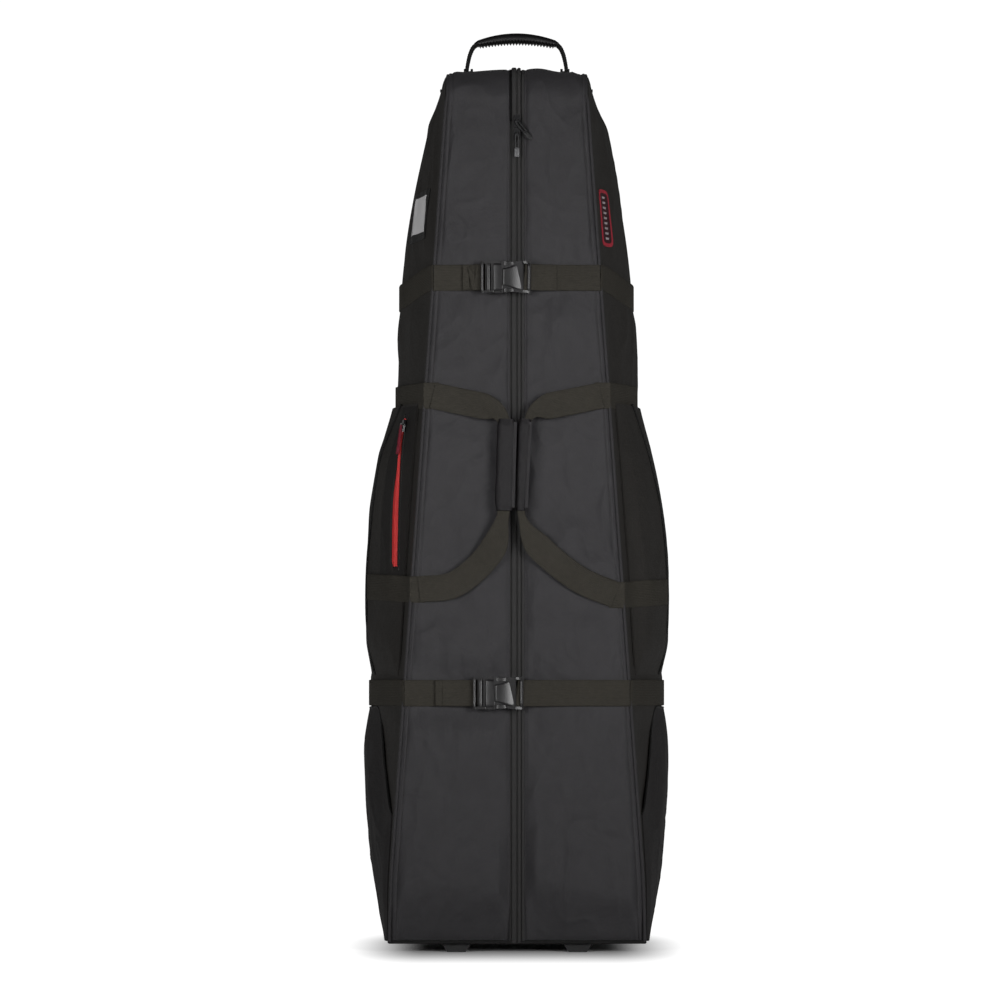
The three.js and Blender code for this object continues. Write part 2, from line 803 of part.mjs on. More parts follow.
// ---------------------------------------------------------------- top handle
const ARM = { thick: 5, eye: 5, pin: 2.2, wide: 12 };
function topHandle() {
  const anchorTop = CREST_Z + SHELL / 2 + GAP;
  for (const [hand, side] of SIDES) {
    const x = side * HANDLE_X;
    const foot = block([x - 15, HANDLE_Y - 18, anchorTop], [x + 15, HANDLE_Y + 18, anchorTop + 3]);
    const ears = [-1, 1].map((end) => {
      const ex = x + end * (ARM.thick / 2 + 2.5);
      return join(
        block([ex - 1.8, HANDLE_Y - 5.5, anchorTop + 2], [ex + 1.8, HANDLE_Y + 5.5, HANDLE_PIVOT_Z]),
        barX(5.5, ex - 1.8, ex + 1.8, HANDLE_Y, HANDLE_PIVOT_Z, 16),
      );
    });
    const pin = barX(ARM.pin, x - ARM.thick / 2 - 3, x + ARM.thick / 2 + 3, HANDLE_Y, HANDLE_PIVOT_Z, 12);
    add("handle_anchor_" + hand, join(foot, ...ears, pin), moulded);
  }

  // One strap makes both arms and runs through the grip.
  const gripBase = HANDLE_TOP_Z - 17;
  const gripHalf = 61;
  const strapXs = Array.from({ length: 9 }, (_, i) => lerp(-gripHalf - 2, gripHalf + 2, i / 8));
  const sagitta = 9;
  const archZ = (x) => gripBase + 6 - sagitta * (x / gripHalf) ** 2;
  const armTop = archZ(gripHalf);
  const half = ARM.thick / 2;
  const top = [];
  for (let x = -gripHalf + 6; x <= 0; x += 15) top.push([x, archZ(x) + 3]);
  const lower = top.map(([x, z]) => [x, z - 3.4]);
  const left = [
    [-HANDLE_X - half, HANDLE_PIVOT_Z - ARM.eye],
    [-HANDLE_X + half, HANDLE_PIVOT_Z - ARM.eye],
    [-HANDLE_X + half, HANDLE_PIVOT_Z + ARM.eye + 1],
    [-gripHalf - 1.5, armTop - 3],
    [-gripHalf - 1, armTop - 0.4],
    ...lower,
  ];
  const outer = [
    [-HANDLE_X - half, HANDLE_PIVOT_Z + ARM.eye + 1],
    [-gripHalf - 5, armTop + 1],
    ...top,
  ];
  const outline = [
    ...left,
    ...left.toReversed().map(([x, z]) => [-x, z]),
    ...outer.map(([x, z]) => [-x, z]),
    ...outer.toReversed(),
  ];
  const arch = plate(outline, [], HANDLE_Y - ARM.wide, 2 * ARM.wide);
  // Each arm narrows to a round eye at its pivot.
  const trims = [];
  for (const end of [-1, 1]) {
    const wedge = new THREE.Shape([
      new THREE.Vector2(end * ARM.eye, -40),
      new THREE.Vector2(end * (ARM.wide + 20), -40),
      new THREE.Vector2(end * (ARM.wide + 20), 26),
      new THREE.Vector2(end * ARM.wide, 26),
      new THREE.Vector2(end * ARM.eye, 2),
    ]);
    trims.push(
      facingOut(
        merged(
          new THREE.ExtrudeGeometry(wedge, { depth: 200, bevelEnabled: false })
            .translate(0, 0, -100)
            .rotateY(Math.PI / 2)
            .rotateX(Math.PI / 2)
            .translate(0, HANDLE_Y, HANDLE_PIVOT_Z),
        ),
      ),
    );
  }
  for (const [, side] of SIDES)
    trims.push(barX(ARM.pin + 0.5, side * HANDLE_X - 8, side * HANDLE_X + 8, HANDLE_Y, HANDLE_PIVOT_Z, 12));
  add("handle_strap", cut(arch, ...trims), webbing);

  // The grip is thickest in the middle, with finger ribs along its underside.
  const ribs = 44;
  const gripTop = (x) => archZ(x) + lerp(11, 6, (x / gripHalf) ** 2);
  const gripUnder = (x, i) =>
    archZ(x) - lerp(5.5, 3.5, (x / gripHalf) ** 2) - (Math.abs(x) < 52 && i % 2 ? 1.6 : 0);
  const section = [
    ...Array.from({ length: 13 }, (_, i) => lerp(-gripHalf, gripHalf, i / 12)).map((x) => [x, gripTop(x)]),
    ...Array.from({ length: ribs + 1 }, (_, i) => {
      const x = lerp(gripHalf, -gripHalf, i / ribs);
      return [x, gripUnder(x, i)];
    }),
  ];
  const sleeve = plate(section, [], HANDLE_Y - 15, 30);
  const bore = plate(
    [
      ...strapXs.map((x) => [x, archZ(x) + 4]),
      ...strapXs.toReversed().map((x) => [x, archZ(x) - 1.5]),
    ],
    [],
    HANDLE_Y - ARM.wide - 0.5,
    2 * ARM.wide + 1,
  );
  add("handle_grip", cut(sleeve, bore), rubber);
}

// ---------------------------------------------------------------- base, wheels and feet
function base() {
  const plateTop = BASE_Z + 6.4;
  const edge = SEAM_BASE_X - 7;
  const slab = block(
    [-edge, FRONT_BASE_Y + 7, BASE_Z + GAP],
    [edge, BACK_Y - 6, plateTop],
  );
  const notches = SIDES.map(([, side]) =>
    block(
      [side * WHEEL_X - HOUSING_HALF - GAP, HOUSING_FRONT_Y - GAP, 0],
      [side * WHEEL_X + HOUSING_HALF + GAP, BACK_Y + 10, 40],
    ),
  );
  add("base_plate", cut(slab, ...notches), moulded);

  for (const [hand, side] of SIDES) {
    const x = side * WHEEL_X;
    // Housing: rounded over the wheel, open below and behind.
    const profile = new THREE.Shape()
      .moveTo(HOUSING_FRONT_Y, 8)
      .lineTo(HOUSING_FRONT_Y, 56)
      .absarc(HOUSING_FRONT_Y + 22, HOUSING_TOP_Z - 22, 22, Math.PI, Math.PI / 2, true)
      .lineTo(BACK_Y - 6, HOUSING_TOP_Z)
      .lineTo(BACK_Y + 9, 52)
      .lineTo(BACK_Y + 9, 22)
      .lineTo(BACK_Y, 8)
      .closePath();
    const body = new THREE.ExtrudeGeometry(profile, {
      depth: 2 * HOUSING_HALF,
      bevelEnabled: false,
      curveSegments: 5,
    })
      .rotateY(Math.PI / 2)
      .rotateX(Math.PI / 2)
      .translate(x - HOUSING_HALF, 0, 0);
    const well = barX(WHEEL_R + 4, x - WHEEL_W / 2 - 2, x + WHEEL_W / 2 + 2, WHEEL_Y, WHEEL_R, 32);
    const slot = WHEEL_W / 2 + 2;
    const mouth = block(
      [x - slot, WHEEL_Y - WHEEL_R - 4, -5],
      [x + slot, WHEEL_Y + 60, WHEEL_R],
    );
    const rear = block([x - slot, WHEEL_Y, 0], [x + slot, WHEEL_Y + 60, WHEEL_R + 26]);
    const bore = barX(AXLE_R + 0.3, x - 30, x + 30, WHEEL_Y, WHEEL_R, 16);
    add("wheel_housing_" + hand, cut(facingOut(merged(body)), well, mouth, rear, bore), moulded);

    const reach = HOUSING_HALF - 1;
    add("axle_" + hand, barX(AXLE_R, x - reach, x + reach, WHEEL_Y, WHEEL_R, 16), steel);

    // Hub and tyre are turned about the axle.
    const turned = (profilePoints, segments) =>
      new THREE.LatheGeometry(
        profilePoints.map(([r, h]) => new THREE.Vector2(r, h)),
        segments,
      )
        .rotateZ(-Math.PI / 2)
        .translate(x, WHEEL_Y, WHEEL_R);
    const w = WHEEL_W / 2;
    const hubProfile = [
      [AXLE_R + 0.4, -w + 1],
      [10, -w + 1],
      [11, -w + 4],
      [19, -w + 4],
      [19, w - 4],
      [11, w - 4],
      [10, w - 1],
      [AXLE_R + 0.4, w - 1],
      [AXLE_R + 0.4, -w + 1],
    ];
    add("wheel_hub_" + hand, facingOut(merged(turned(hubProfile, 24))), hubPlastic);
    const tyreProfile = [
      [19.3, -w + 2],
      [25, -w],
      [WHEEL_R - 3, -w + 1.5],
      [WHEEL_R, -w + 5.5],
      [WHEEL_R, w - 5.5],
      [WHEEL_R - 3, w - 1.5],
      [25, w],
      [19.3, w - 2],
      [19.3, -w + 2],
    ];
    add("wheel_tyre_" + hand, facingOut(merged(turned(tyreProfile, 32))), tyre);

    // Moulded foot: narrow flat tread, sloping sides.
    const foot = new THREE.Shape([
      new THREE.Vector2(-13, 0),
      new THREE.Vector2(13, 0),
      new THREE.Vector2(21, BASE_Z),
      new THREE.Vector2(-21, BASE_Z),
    ]);
    add(
      "foot_" + hand,
      new THREE.ExtrudeGeometry(foot, { depth: 70, bevelEnabled: false })
        .rotateX(Math.PI / 2)
        .translate(x, FRONT_BASE_Y + 80, 0),
      moulded,
    );
  }
}

// ---------------------------------------------------------------- label, card window, inner parts
function trims() {
  // Business-card window on the left side, and a woven label on the right.
  const patch = (side, u0, u1, z0, z1, inner, outer, nu = 2, nv = 2) =>
    sheet(
      (u, v) => sidePoint(side, lerp(u0, u1, u), lerp(z0, z1, v)),
      nu,
      nv,
      outOf(side),
      SHELL / 2 + inner,
      SHELL / 2 + outer,
    );
  const holder = patch(-1, 0.16, 0.62, 1030, 1098, SIDE_GAP, SIDE_GAP + 1.2, 4, 2);
  add("id_holder", holder, binding);
  add("id_window", patch(-1, 0.2, 0.58, 1037, 1090, SIDE_GAP + 1.7, SIDE_GAP + 2.4, 4, 2), clearPlastic);
  add("label_patch", patch(1, 0.09, 0.31, 1020, 1104, SIDE_GAP, SIDE_GAP + 1.2, 4, 3), labelFabric);

  const boardY = BACK_Y - SHELL / 2 - 3;
  add(
    "back_board",
    sheet(
      (u, v) => {
        const z = lerp(92, 1225, v);
        return new THREE.Vector3(lerp(-1, 1, u) * (seamX(z) - 8), boardY, z);
      },
      1,
      2,
      OUT_BACK,
      -1.5,
      1.5,
    ),
    board,
  );
  // The inner strap is sewn at its ends and holds the golf bag against the board.
  const z = 430;
  const reach = seamX(z) - 14;
  const across = Array.from({ length: 7 }, (_, i) => lerp(-reach, reach, i / 6)).map(
    (x) => new THREE.Vector3(x, boardY - 4.5 - 3 * swell((x + reach) / (2 * reach)), z),
  );
  add("inner_strap", band(across, WEBBING, WEB_THICK, 6, 0), webbing);
}

shell();
pockets();
pocketZip();
frontPanels();
straps();
carryLoops();
sliders();
topHandle();
base();
trims();

export default object;
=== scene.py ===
"""Looks of the soft golf travel case. Lengths in the modelling code are millimetres until a mesh is made."""

import json
import math
from bisect import bisect_right

import bmesh
import bpy
import numpy as np
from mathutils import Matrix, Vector, noise


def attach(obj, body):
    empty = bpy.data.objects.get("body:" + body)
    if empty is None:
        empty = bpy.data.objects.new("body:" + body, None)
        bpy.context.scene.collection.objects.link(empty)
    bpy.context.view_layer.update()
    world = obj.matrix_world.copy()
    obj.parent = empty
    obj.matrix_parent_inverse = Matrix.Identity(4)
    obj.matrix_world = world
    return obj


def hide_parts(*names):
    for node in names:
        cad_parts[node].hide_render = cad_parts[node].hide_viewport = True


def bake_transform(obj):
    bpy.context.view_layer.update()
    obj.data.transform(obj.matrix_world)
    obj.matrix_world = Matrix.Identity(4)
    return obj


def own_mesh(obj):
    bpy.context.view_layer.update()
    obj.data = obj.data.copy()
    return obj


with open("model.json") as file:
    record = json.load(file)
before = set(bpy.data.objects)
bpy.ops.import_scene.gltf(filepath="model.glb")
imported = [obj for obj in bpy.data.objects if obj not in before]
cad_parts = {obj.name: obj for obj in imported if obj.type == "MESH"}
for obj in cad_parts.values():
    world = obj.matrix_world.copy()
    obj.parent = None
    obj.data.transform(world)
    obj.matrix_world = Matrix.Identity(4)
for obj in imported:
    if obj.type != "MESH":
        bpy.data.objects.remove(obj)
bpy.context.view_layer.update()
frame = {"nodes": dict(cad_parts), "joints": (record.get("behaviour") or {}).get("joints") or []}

MM = 0.001
BASE_Z, CREST_Z = 12.0, 1268.0
FRONT_BASE_Y, FRONT_CREST_Y = -148.0, -84.0
SEAM_BASE_X, SEAM_CREST_X = 187.0, 100.0
BACK_Y = 132.0
SHELL = 5.0
CROWN_R = 38.0
MIDDLE_Z = 612.0  # where the upper and lower pieces of each front half meet
WEBBING = 38.0
UPPER_Z, LOWER_Z = 971.0, 371.0
SIDES = (("left", -1), ("right", 1))
CROWN_Z = CREST_Z - CROWN_R  # where the front begins to roll over into the top
ZIP_EDGE = 10.0  # where each half's cloth begins beside the zip
SEAM_INSET = 2.6  # where it ends, short of the seam
JOINTS = {joint["name"]: joint for joint in frame["joints"]}


def lerp(a, b, t):
    return a + (b - a) * t


def smooth(t, low=0.0, high=1.0):
    """From 0 at low to 1 at high, eased at both ends."""
    t = min(max((t - low) / (high - low), 0.0), 1.0)
    return t * t * (3 - 2 * t)


def fade(t, low, high):
    """From 1 at low to 0 at high."""
    return 1 - smooth(t, low, high)


def wobble(*place):
    return noise.noise(Vector(place))


def through(pairs):
    """The cubic through (position, value) pairs that the solid model's own outline follows."""
    ts, ys = zip(*pairs)
    slopes = [(y1 - y0) / (t1 - t0) for (t0, y0), (t1, y1) in zip(pairs, pairs[1:])]
    last = len(slopes) - 1

    def value(t):
        t = min(max(t, ts[0]), ts[-1])
        i = min(bisect_right(ts, t) - 1, last)
        span = ts[i + 1] - ts[i]
        p = (t - ts[i]) / span
        leave = span * (slopes[max(i - 1, 0)] + slopes[i]) / 2
        arrive = span * (slopes[i] + slopes[min(i + 1, last)]) / 2
        return (
            (1 - p) ** 2 * ((1 + 2 * p) * ys[i] + p * leave)
            + p * p * ((3 - 2 * p) * ys[i + 1] - (1 - p) * arrive)
        )

    return value


solid_back_x = through([(12, 190), (300, 206), (600, 205), (808, 181), (1047, 160), (1268, 116)])


def back_x(z):
    """Half the width along the back edge."""
    waist = 5.5 * math.exp(-((z - 815) / 75) ** 2)
    return solid_back_x(z) - waist - 7.5 * smooth(z, 1205, 1268) - 4 * fade(z, 12, 130)


def share(z):
    return (z - BASE_Z) / (CREST_Z - BASE_Z)


def front_y(z):
    return lerp(FRONT_BASE_Y, FRONT_CREST_Y, share(z))


def seam_x(z):
    """Half the width along the front seams."""
    return lerp(SEAM_BASE_X, SEAM_CREST_X, share(z)) - 4 * fade(z, 12, 110)


def side_point(side, u, z):
    """On the gusset's middle layer, u from the front seam at 0 to the back edge at 1."""
    y = lerp(front_y(z) + 4, BACK_Y - SHELL, u)
    x = lerp(seam_x(z), back_x(z), math.sin(max(u, 0) * math.pi / 2) ** 1.15)
    return (side * x, y, z)


def ripple(x, z, seed, size, amount):
    return amount * wobble(x / size, z / (size * 1.7), seed)


def crease(x, z, seed, size, amount):
    """Soft ridges, as in fabric that has been folded."""
    bend = 0.6 * wobble(x / size, z / size, seed + 5)
    n = wobble(x / size + bend, z / (size * 2.2) + bend, seed)
    return amount * (1 - min(abs(n) * 3.2, 1)) ** 2


# ---- materials
WAVES_AT_ONE_METRE = 0.3142  # the wave texture's scale for bands one metre apart


def node(tree, kind, inputs=None, **settings):
    """A shader node; each input is given a value, or the socket that feeds it."""
    made = tree.nodes.new("ShaderNode" + kind)
    for key, value in settings.items():
        setattr(made, key, value)
    for key, value in (inputs or {}).items():
        if isinstance(value, bpy.types.NodeSocket):
            tree.links.new(value, made.inputs[key])
        else:
            made.inputs[key].default_value = value
    return made


def blended(tree, factor, first, second):
    return node(tree, "Mix", {0: factor, 6: first, 7: second}, data_type="RGBA").outputs[2]


def noisy(tree, place, scale, detail=2.0, **more):
    inputs = {"Vector": place, "Scale": scale, "Detail": detail, **more}
    return node(tree, "TexNoise", inputs).outputs["Fac"]


def ranged(tree, value, low, high, start=0.0, end=1.0, **settings):
    """Maps start..end to low..high."""
    inputs = {"Value": value, "From Min": start, "From Max": end, "To Min": low, "To Max": high}
    return node(tree, "MapRange", inputs, **settings).outputs[0]


def shade(color, factor):
    return [c * factor for c in color] + [1]


def varied(tree, place, color, amount, scales):
    """The colour with slow and fast mottling."""
    layers = []
    for scale in scales:
        speckle = noisy(tree, place, scale, 4.0, Roughness=0.6)
        ramp = node(tree, "ValToRGB", {"Fac": speckle})
        low, high = ramp.color_ramp.elements
        low.position, high.position = 0.35, 0.65
        low.color, high.color = shade(color, 1 - amount), shade(color, 1 + amount)
        layers.append(ramp.outputs["Color"])
    return blended(tree, 0.5, *layers)


def waves(tree, place, pitch, direction, distortion=0.0, profile="SIN"):
    """Bands, pitch millimetres apart."""
    scale = WAVES_AT_ONE_METRE / (pitch * MM)
    inputs = {"Vector": place, "Scale": scale, "Distortion": distortion, "Detail": 1.0}
    return node(tree, "TexWave", inputs, bands_direction=direction, wave_profile=profile).outputs["Fac"]


def start(name):
    """A new material: itself, its tree, its shader and its texture coordinates."""
    mat = bpy.data.materials.new(name)
    mat.use_nodes = True
    tree = mat.node_tree
    return mat, tree, tree.nodes["Principled BSDF"], tree.nodes.new("ShaderNodeTexCoord")


def bumped(tree, height, strength, distance, under=None):
    inputs = {"Height": height, "Strength": strength, "Distance": distance}
    if under is not None:
        inputs["Normal"] = under
    return node(tree, "Bump", inputs).outputs["Normal"]


def fabric(name, color, rough, thread=1.0, weave=0.35, crumple=0.35, sheen=0.12, tint=0.10, ripstop=0):
    """Woven cloth: warp and weft, slow crumpling, mottled colour, and thread edges that catch the light."""
    mat, tree, shader, place = start(name)
    uv, solid = place.outputs["UV"], place.outputs["Object"]
    warp, weft = waves(tree, uv, thread, "X", 0.4), waves(tree, uv, thread, "Y", 0.4)
    threads = node(tree, "Math", {0: warp, 1: weft}, operation="MULTIPLY").outputs[0]
    base = varied(tree, solid, color, tint, (5.0, 45.0))
    # the colour is darkened where the threads dip: painted shade in the weave
    base = blended(tree, ranged(tree, threads, 0.16, 0.0), base, shade(color, 0.3))
    tree.links.new(base, shader.inputs["Base Color"])
    wide = noisy(tree, solid, 9.0, 5.0, Roughness=0.62, Distortion=0.5)
    tree.links.new(ranged(tree, wide, rough - 0.07, rough + 0.07), shader.inputs["Roughness"])
    normal = bumped(tree, wide, crumple, 0.012)
    normal = bumped(tree, noisy(tree, solid, 260.0), 0.25, 0.0006, normal)
    normal = bumped(tree, threads, weave, 0.0005, normal)
    if ripstop:
        both = {k: waves(tree, uv, ripstop, direction, 0, "SAW") for k, direction in enumerate("XY")}
        lines = node(tree, "Math", both, operation="MAXIMUM").outputs[0]
        normal = bumped(tree, ranged(tree, lines, 0, 1, start=0.88), 0.3, 0.0004, normal)
    tree.links.new(normal, shader.inputs["Normal"])
    shader.inputs["Sheen Weight"].default_value = sheen
    shader.inputs["Sheen Roughness"].default_value = 0.45
    shader.inputs["Specular IOR Level"].default_value = 0.16
    return mat


def webbing_cloth(name, color, rough=0.85):
    """Belt webbing: ribs along its length, crossed by slanted weft."""
    mat, tree, shader, place = start(name)
    uv, solid = place.outputs["UV"], place.outputs["Object"]
    turned = node(tree, "Mapping", {"Vector": uv, "Rotation": (0, 0, math.radians(28))}).outputs[0]
    ribs = waves(tree, uv, 2.4, "Y", 0.2)
    twill = waves(tree, turned, 1.5, "X", 0.6)
    both = node(tree, "Math", {0: ribs, 1: twill}, operation="ADD").outputs[0]
    base = varied(tree, solid, color, 0.14, (14.0, 160.0))
    # the colour is darkened in the hollows between ribs and weft: painted shade
    base = blended(tree, ranged(tree, both, 0.28, 0.0, end=2.0), base, shade(color, 0.45))
    tree.links.new(base, shader.inputs["Base Color"])
    fuzz = noisy(tree, solid, 420.0, 3.0)
    tree.links.new(ranged(tree, fuzz, rough - 0.08, rough + 0.08), shader.inputs["Roughness"])
    normal = bumped(tree, fuzz, 0.3, 0.0005)
    normal = bumped(tree, both, 0.5, 0.0006, normal)
    tree.links.new(normal, shader.inputs["Normal"])
    shader.inputs["Specular IOR Level"].default_value = 0.08
    return mat


def plastic(name, color, rough, grain=0.15, grain_scale=1400.0, metallic=0.0, coat=0.0, worn=0.5, gloss_level=0.5):
    """Moulded or painted surface: fine grain, uneven gloss, and edges rubbed a little lighter."""
    mat, tree, shader, place = start(name)
    solid = place.outputs["Object"]
    edge = node(tree, "NewGeometry").outputs["Pointiness"]
    rub = ranged(tree, edge, 0.0, worn, 0.52, 0.62)
    base = varied(tree, solid, color, 0.12, (30.0, 300.0))
    base = blended(tree, rub, base, [min(c * 2.2 + 0.01, 1) for c in color] + [1])
    tree.links.new(base, shader.inputs["Base Color"])
    smear = noisy(tree, solid, 40.0, 5.0)
    tree.links.new(ranged(tree, smear, rough - 0.08, rough + 0.08), shader.inputs["Roughness"])
    speck = noisy(tree, solid, grain_scale)
    tree.links.new(bumped(tree, speck, grain, 0.0003), shader.inputs["Normal"])
    shader.inputs["Metallic"].default_value = metallic
    shader.inputs["Specular IOR Level"].default_value = gloss_level
    shader.inputs["Coat Weight"].default_value = coat
    return mat


def zip_teeth(name, color, rough=0.7):
    """Zip tape with a coil down its middle; U is across and V along."""
    mat, tree, shader, place = start(name)
    uv, solid = place.outputs["UV"], place.outputs["Object"]
    coil = waves(tree, uv, 1.6, "Y")
    base = varied(tree, solid, color, 0.12, (25.0, 250.0))
    # the colour is darkened between the coil's teeth: painted shade
    base = blended(tree, coil, shade(color, 0.5), base)
    tree.links.new(base, shader.inputs["Base Color"])
    shader.inputs["Roughness"].default_value = rough
    tree.links.new(bumped(tree, coil, 0.7, 0.0008), shader.inputs["Normal"])
    return mat


TAPE = {"thread": 0.8, "weave": 0.5, "crumple": 0.1}
WOVEN = {"thread": 0.6, "weave": 0.6, "crumple": 0.05, "sheen": 0.0}
FRONT = fabric("front_cloth", (0.0240, 0.0230, 0.0248), 0.6, thread=0.9, crumple=0.4, sheen=0.03)
SIDE = fabric("side_cloth", (0.0165, 0.0152, 0.0138), 0.78, thread=1.1, crumple=0.45, sheen=0.0, ripstop=7)
LOWER = fabric("lower_cloth", (0.0158, 0.0148, 0.0150), 0.78, thread=1.1, crumple=0.5, sheen=0.0, ripstop=7)
DARK = fabric("pocket_cloth", (0.0105, 0.0098, 0.0092), 0.78, thread=1.1, crumple=0.4, sheen=0.0)
PIPE = fabric("piping_cloth", (0.0225, 0.0215, 0.0230), 0.6, sheen=0.02, **TAPE)
PAD = fabric("pad_cloth", (0.0072, 0.0064, 0.0072), 0.5, thread=0.9, crumple=0.5, sheen=0.0)
WEB = webbing_cloth("webbing", (0.0282, 0.0259, 0.0214))
BIND = fabric("binding_tape", (0.0055, 0.0055, 0.0053), 0.6, sheen=0.02, **TAPE)
# near-black cloth for the strip over the zip's open top: painted shade in the gap
GAP_PAINTED_SHADE = fabric("zip_gap_painted_shade", (0.0022, 0.0022, 0.0022), 0.9, sheen=0.0, **TAPE)
ZIP = zip_teeth("zip_tape", (0.0155, 0.0148, 0.0145))
RED = zip_teeth("red_zip", (0.55, 0.024, 0.023), 0.5)
RED_CORD = webbing_cloth("red_cord", (0.13, 0.014, 0.024), 0.7)
THREAD = webbing_cloth("thread", (0.034, 0.032, 0.031), 0.6)
LABEL_RED = fabric("label_edge", (0.30, 0.020, 0.034), 0.6, **WOVEN)
LABEL_DARK = fabric("label_field_cloth", (0.028, 0.006, 0.009), 0.6, **WOVEN)
PALE = fabric("label_marks", (0.34, 0.30, 0.31), 0.6, **WOVEN)
CARD = plastic("window_card", (0.51, 0.505, 0.51), 0.35, grain=0.05, grain_scale=200.0, coat=0.6, worn=0.0)
GREY = plastic("pull_tab", (0.050, 0.050, 0.052), 0.4, grain=0.2)
ACETAL = plastic("acetal", (0.0060, 0.0056, 0.0060), 0.34, grain=0.04, worn=0.15, gloss_level=0.34)
MOULDED = plastic("moulded", (0.0038, 0.0038, 0.0040), 0.5, grain=0.4, worn=0.1, gloss_level=0.25)
RUBBER = plastic("grip_rubber", (0.0050, 0.0047, 0.0050), 0.36, grain=0.3, worn=0.2, gloss_level=0.3)
TYRE = plastic("tyre", (0.012, 0.012, 0.012), 0.6, grain=0.3, grain_scale=700.0, worn=0.2)
HUB = plastic("hub", (0.040, 0.042, 0.046), 0.42, grain=0.25)
STEEL = plastic("steel", (0.55, 0.55, 0.56), 0.28, grain=0.2, metallic=1.0, worn=0.2)
ENAMEL = plastic("enamel", (0.0060, 0.0060, 0.0065), 0.24, grain=0.05, coat=0.5, worn=0.15)
BOARD = plastic("board", (0.060, 0.060, 0.064), 0.6, grain=0.5, grain_scale=500.0)


# ---- meshes
def shown(name, data):
    obj = bpy.data.objects.new(name, data)
    bpy.context.scene.collection.objects.link(obj)
    return obj


def made(name, verts, faces, uvs, mat, sharp=38):
    mesh = bpy.data.meshes.new(name)
    mesh.from_pydata((np.asarray(verts, float) * MM).tolist(), [], faces)
    layer = mesh.uv_layers.new(name="UVMap")
    index = np.empty(len(mesh.loops), int)
    mesh.loops.foreach_get("vertex_index", index)
    layer.data.foreach_set("uv", (np.asarray(uvs, float)[index] * MM).ravel())
    bm = bmesh.new()
    bm.from_mesh(mesh)
    bmesh.ops.recalc_face_normals(bm, faces=bm.faces)
    bm.to_mesh(mesh)
    bm.free()
    mesh.shade_smooth()
    mesh.set_sharp_from_angle(angle=math.radians(sharp))
    mesh.materials.append(mat)
    return shown(name, mesh)


def grid(point, nu, nv):
    return np.array([[point(i / nu, j / nv) for j in range(nv + 1)] for i in range(nu + 1)], float)


def normals_of(a, outward):
    n = np.cross(np.gradient(a, axis=0), np.gradient(a, axis=1))
    n /= np.maximum(np.linalg.norm(n, axis=2, keepdims=True), 1e-9)
    return n if (n * np.asarray(outward, float)).sum() > 0 else -n


def lengths(a, axis):
    step = np.linalg.norm(np.diff(a, axis=axis), axis=2)
    pad = [(0, 0), (0, 0)]
    pad[axis] = (1, 0)
    return np.pad(np.cumsum(step, axis=axis), pad)


def sheet(name, point, nu, nv, outward, low, high, mat):
    """A closed sheet over the surface point(u, v), between low and high off it, which may be functions of (u, v)."""
    a = grid(point, nu, nv)
    n = normals_of(a, outward)
    levels = []
    for lift in (low, high):
        if callable(lift):
            lift = np.array([[[lift(i / nu, j / nv)] for j in range(nv + 1)] for i in range(nu + 1)])
        levels.append(a + n * lift)
    rows, cols = nu + 1, nv + 1
    top = rows * cols

    def at(i, j, level):
        return level * top + i * cols + j

    faces = []
    for i in range(nu):
        for j in range(nv):
            faces.append((at(i, j, 1), at(i + 1, j, 1), at(i + 1, j + 1, 1), at(i, j + 1, 1)))
            faces.append((at(i, j, 0), at(i, j + 1, 0), at(i + 1, j + 1, 0), at(i + 1, j, 0)))
    rim = [(i, 0) for i in range(nu)] + [(nu, j) for j in range(nv)]
    rim += [(i, nv) for i in range(nu, 0, -1)] + [(0, j) for j in range(nv, 0, -1)]
    for k, (i, j) in enumerate(rim):
        p, q = rim[(k + 1) % len(rim)]
        faces.append((at(i, j, 0), at(p, q, 0), at(p, q, 1), at(i, j, 1)))
    uv = np.stack([lengths(a, 0), lengths(a, 1)], axis=2).reshape(-1, 2)
    return made(name, np.concatenate([p.reshape(-1, 3) for p in levels]), faces, np.concatenate([uv, uv]), mat)


def measured(path):
    """The points as an array, and how far along the path each one is."""
    steps = [(b - a).length for a, b in zip(path, path[1:])]
    return np.array([list(q) for q in path]), np.concatenate([[0], np.cumsum(steps)])


def smooth_path(points, steps):
    """A smooth line through the points, resampled evenly."""
    p = [Vector(q) for q in points]
    p = [2 * p[0] - p[1]] + p + [2 * p[-1] - p[-2]]
    dense = []
    for a, b, c, d in zip(p, p[1:], p[2:], p[3:]):
        for t in np.arange(16) / 16:
            bend = (2 * a - 5 * b + 4 * c - d) * t * t + (3 * b - a - 3 * c + d) * t ** 3
            dense.append(0.5 * (2 * b + (c - a) * t + bend))
    dense.append(p[-2])
    arr, dist = measured(dense)
    s = np.linspace(0, dist[-1], steps + 1)
    return [Vector([np.interp(x, dist, arr[:, k]) for k in range(3)]) for x in s]


def loft(name, path, section, across, mat):
    """Sections along a path. section(t) gives (offset across, offset out) pairs, across(t) the direction across."""
    last = len(path) - 1
    verts, uvs, travelled = [], [], 0.0
    for i, p in enumerate(path):
        t = i / last
        tangent = (path[min(i + 1, last)] - path[max(i - 1, 0)]).normalized()
        if i:
            travelled += (p - path[i - 1]).length
        side = across(t)
        side = (side - tangent * side.dot(tangent)).normalized()
        out = side.cross(tangent).normalized()
        ring = section(t)
        around = 0.0
        for k, (a, b) in enumerate(ring):
            verts.append(p + side * a + out * b)
            if k:
                around += math.hypot(a - ring[k - 1][0], b - ring[k - 1][1])
            uvs.append((travelled, around))
    m = len(ring)
    faces = [
        (i * m + k, i * m + (k + 1) % m, (i + 1) * m + (k + 1) % m, (i + 1) * m + k)
        for i in range(last) for k in range(m)
    ]
    faces += [tuple(range(m)), tuple(range(last * m, (last + 1) * m))[::-1]]
    return made(name, verts, faces, uvs, mat)


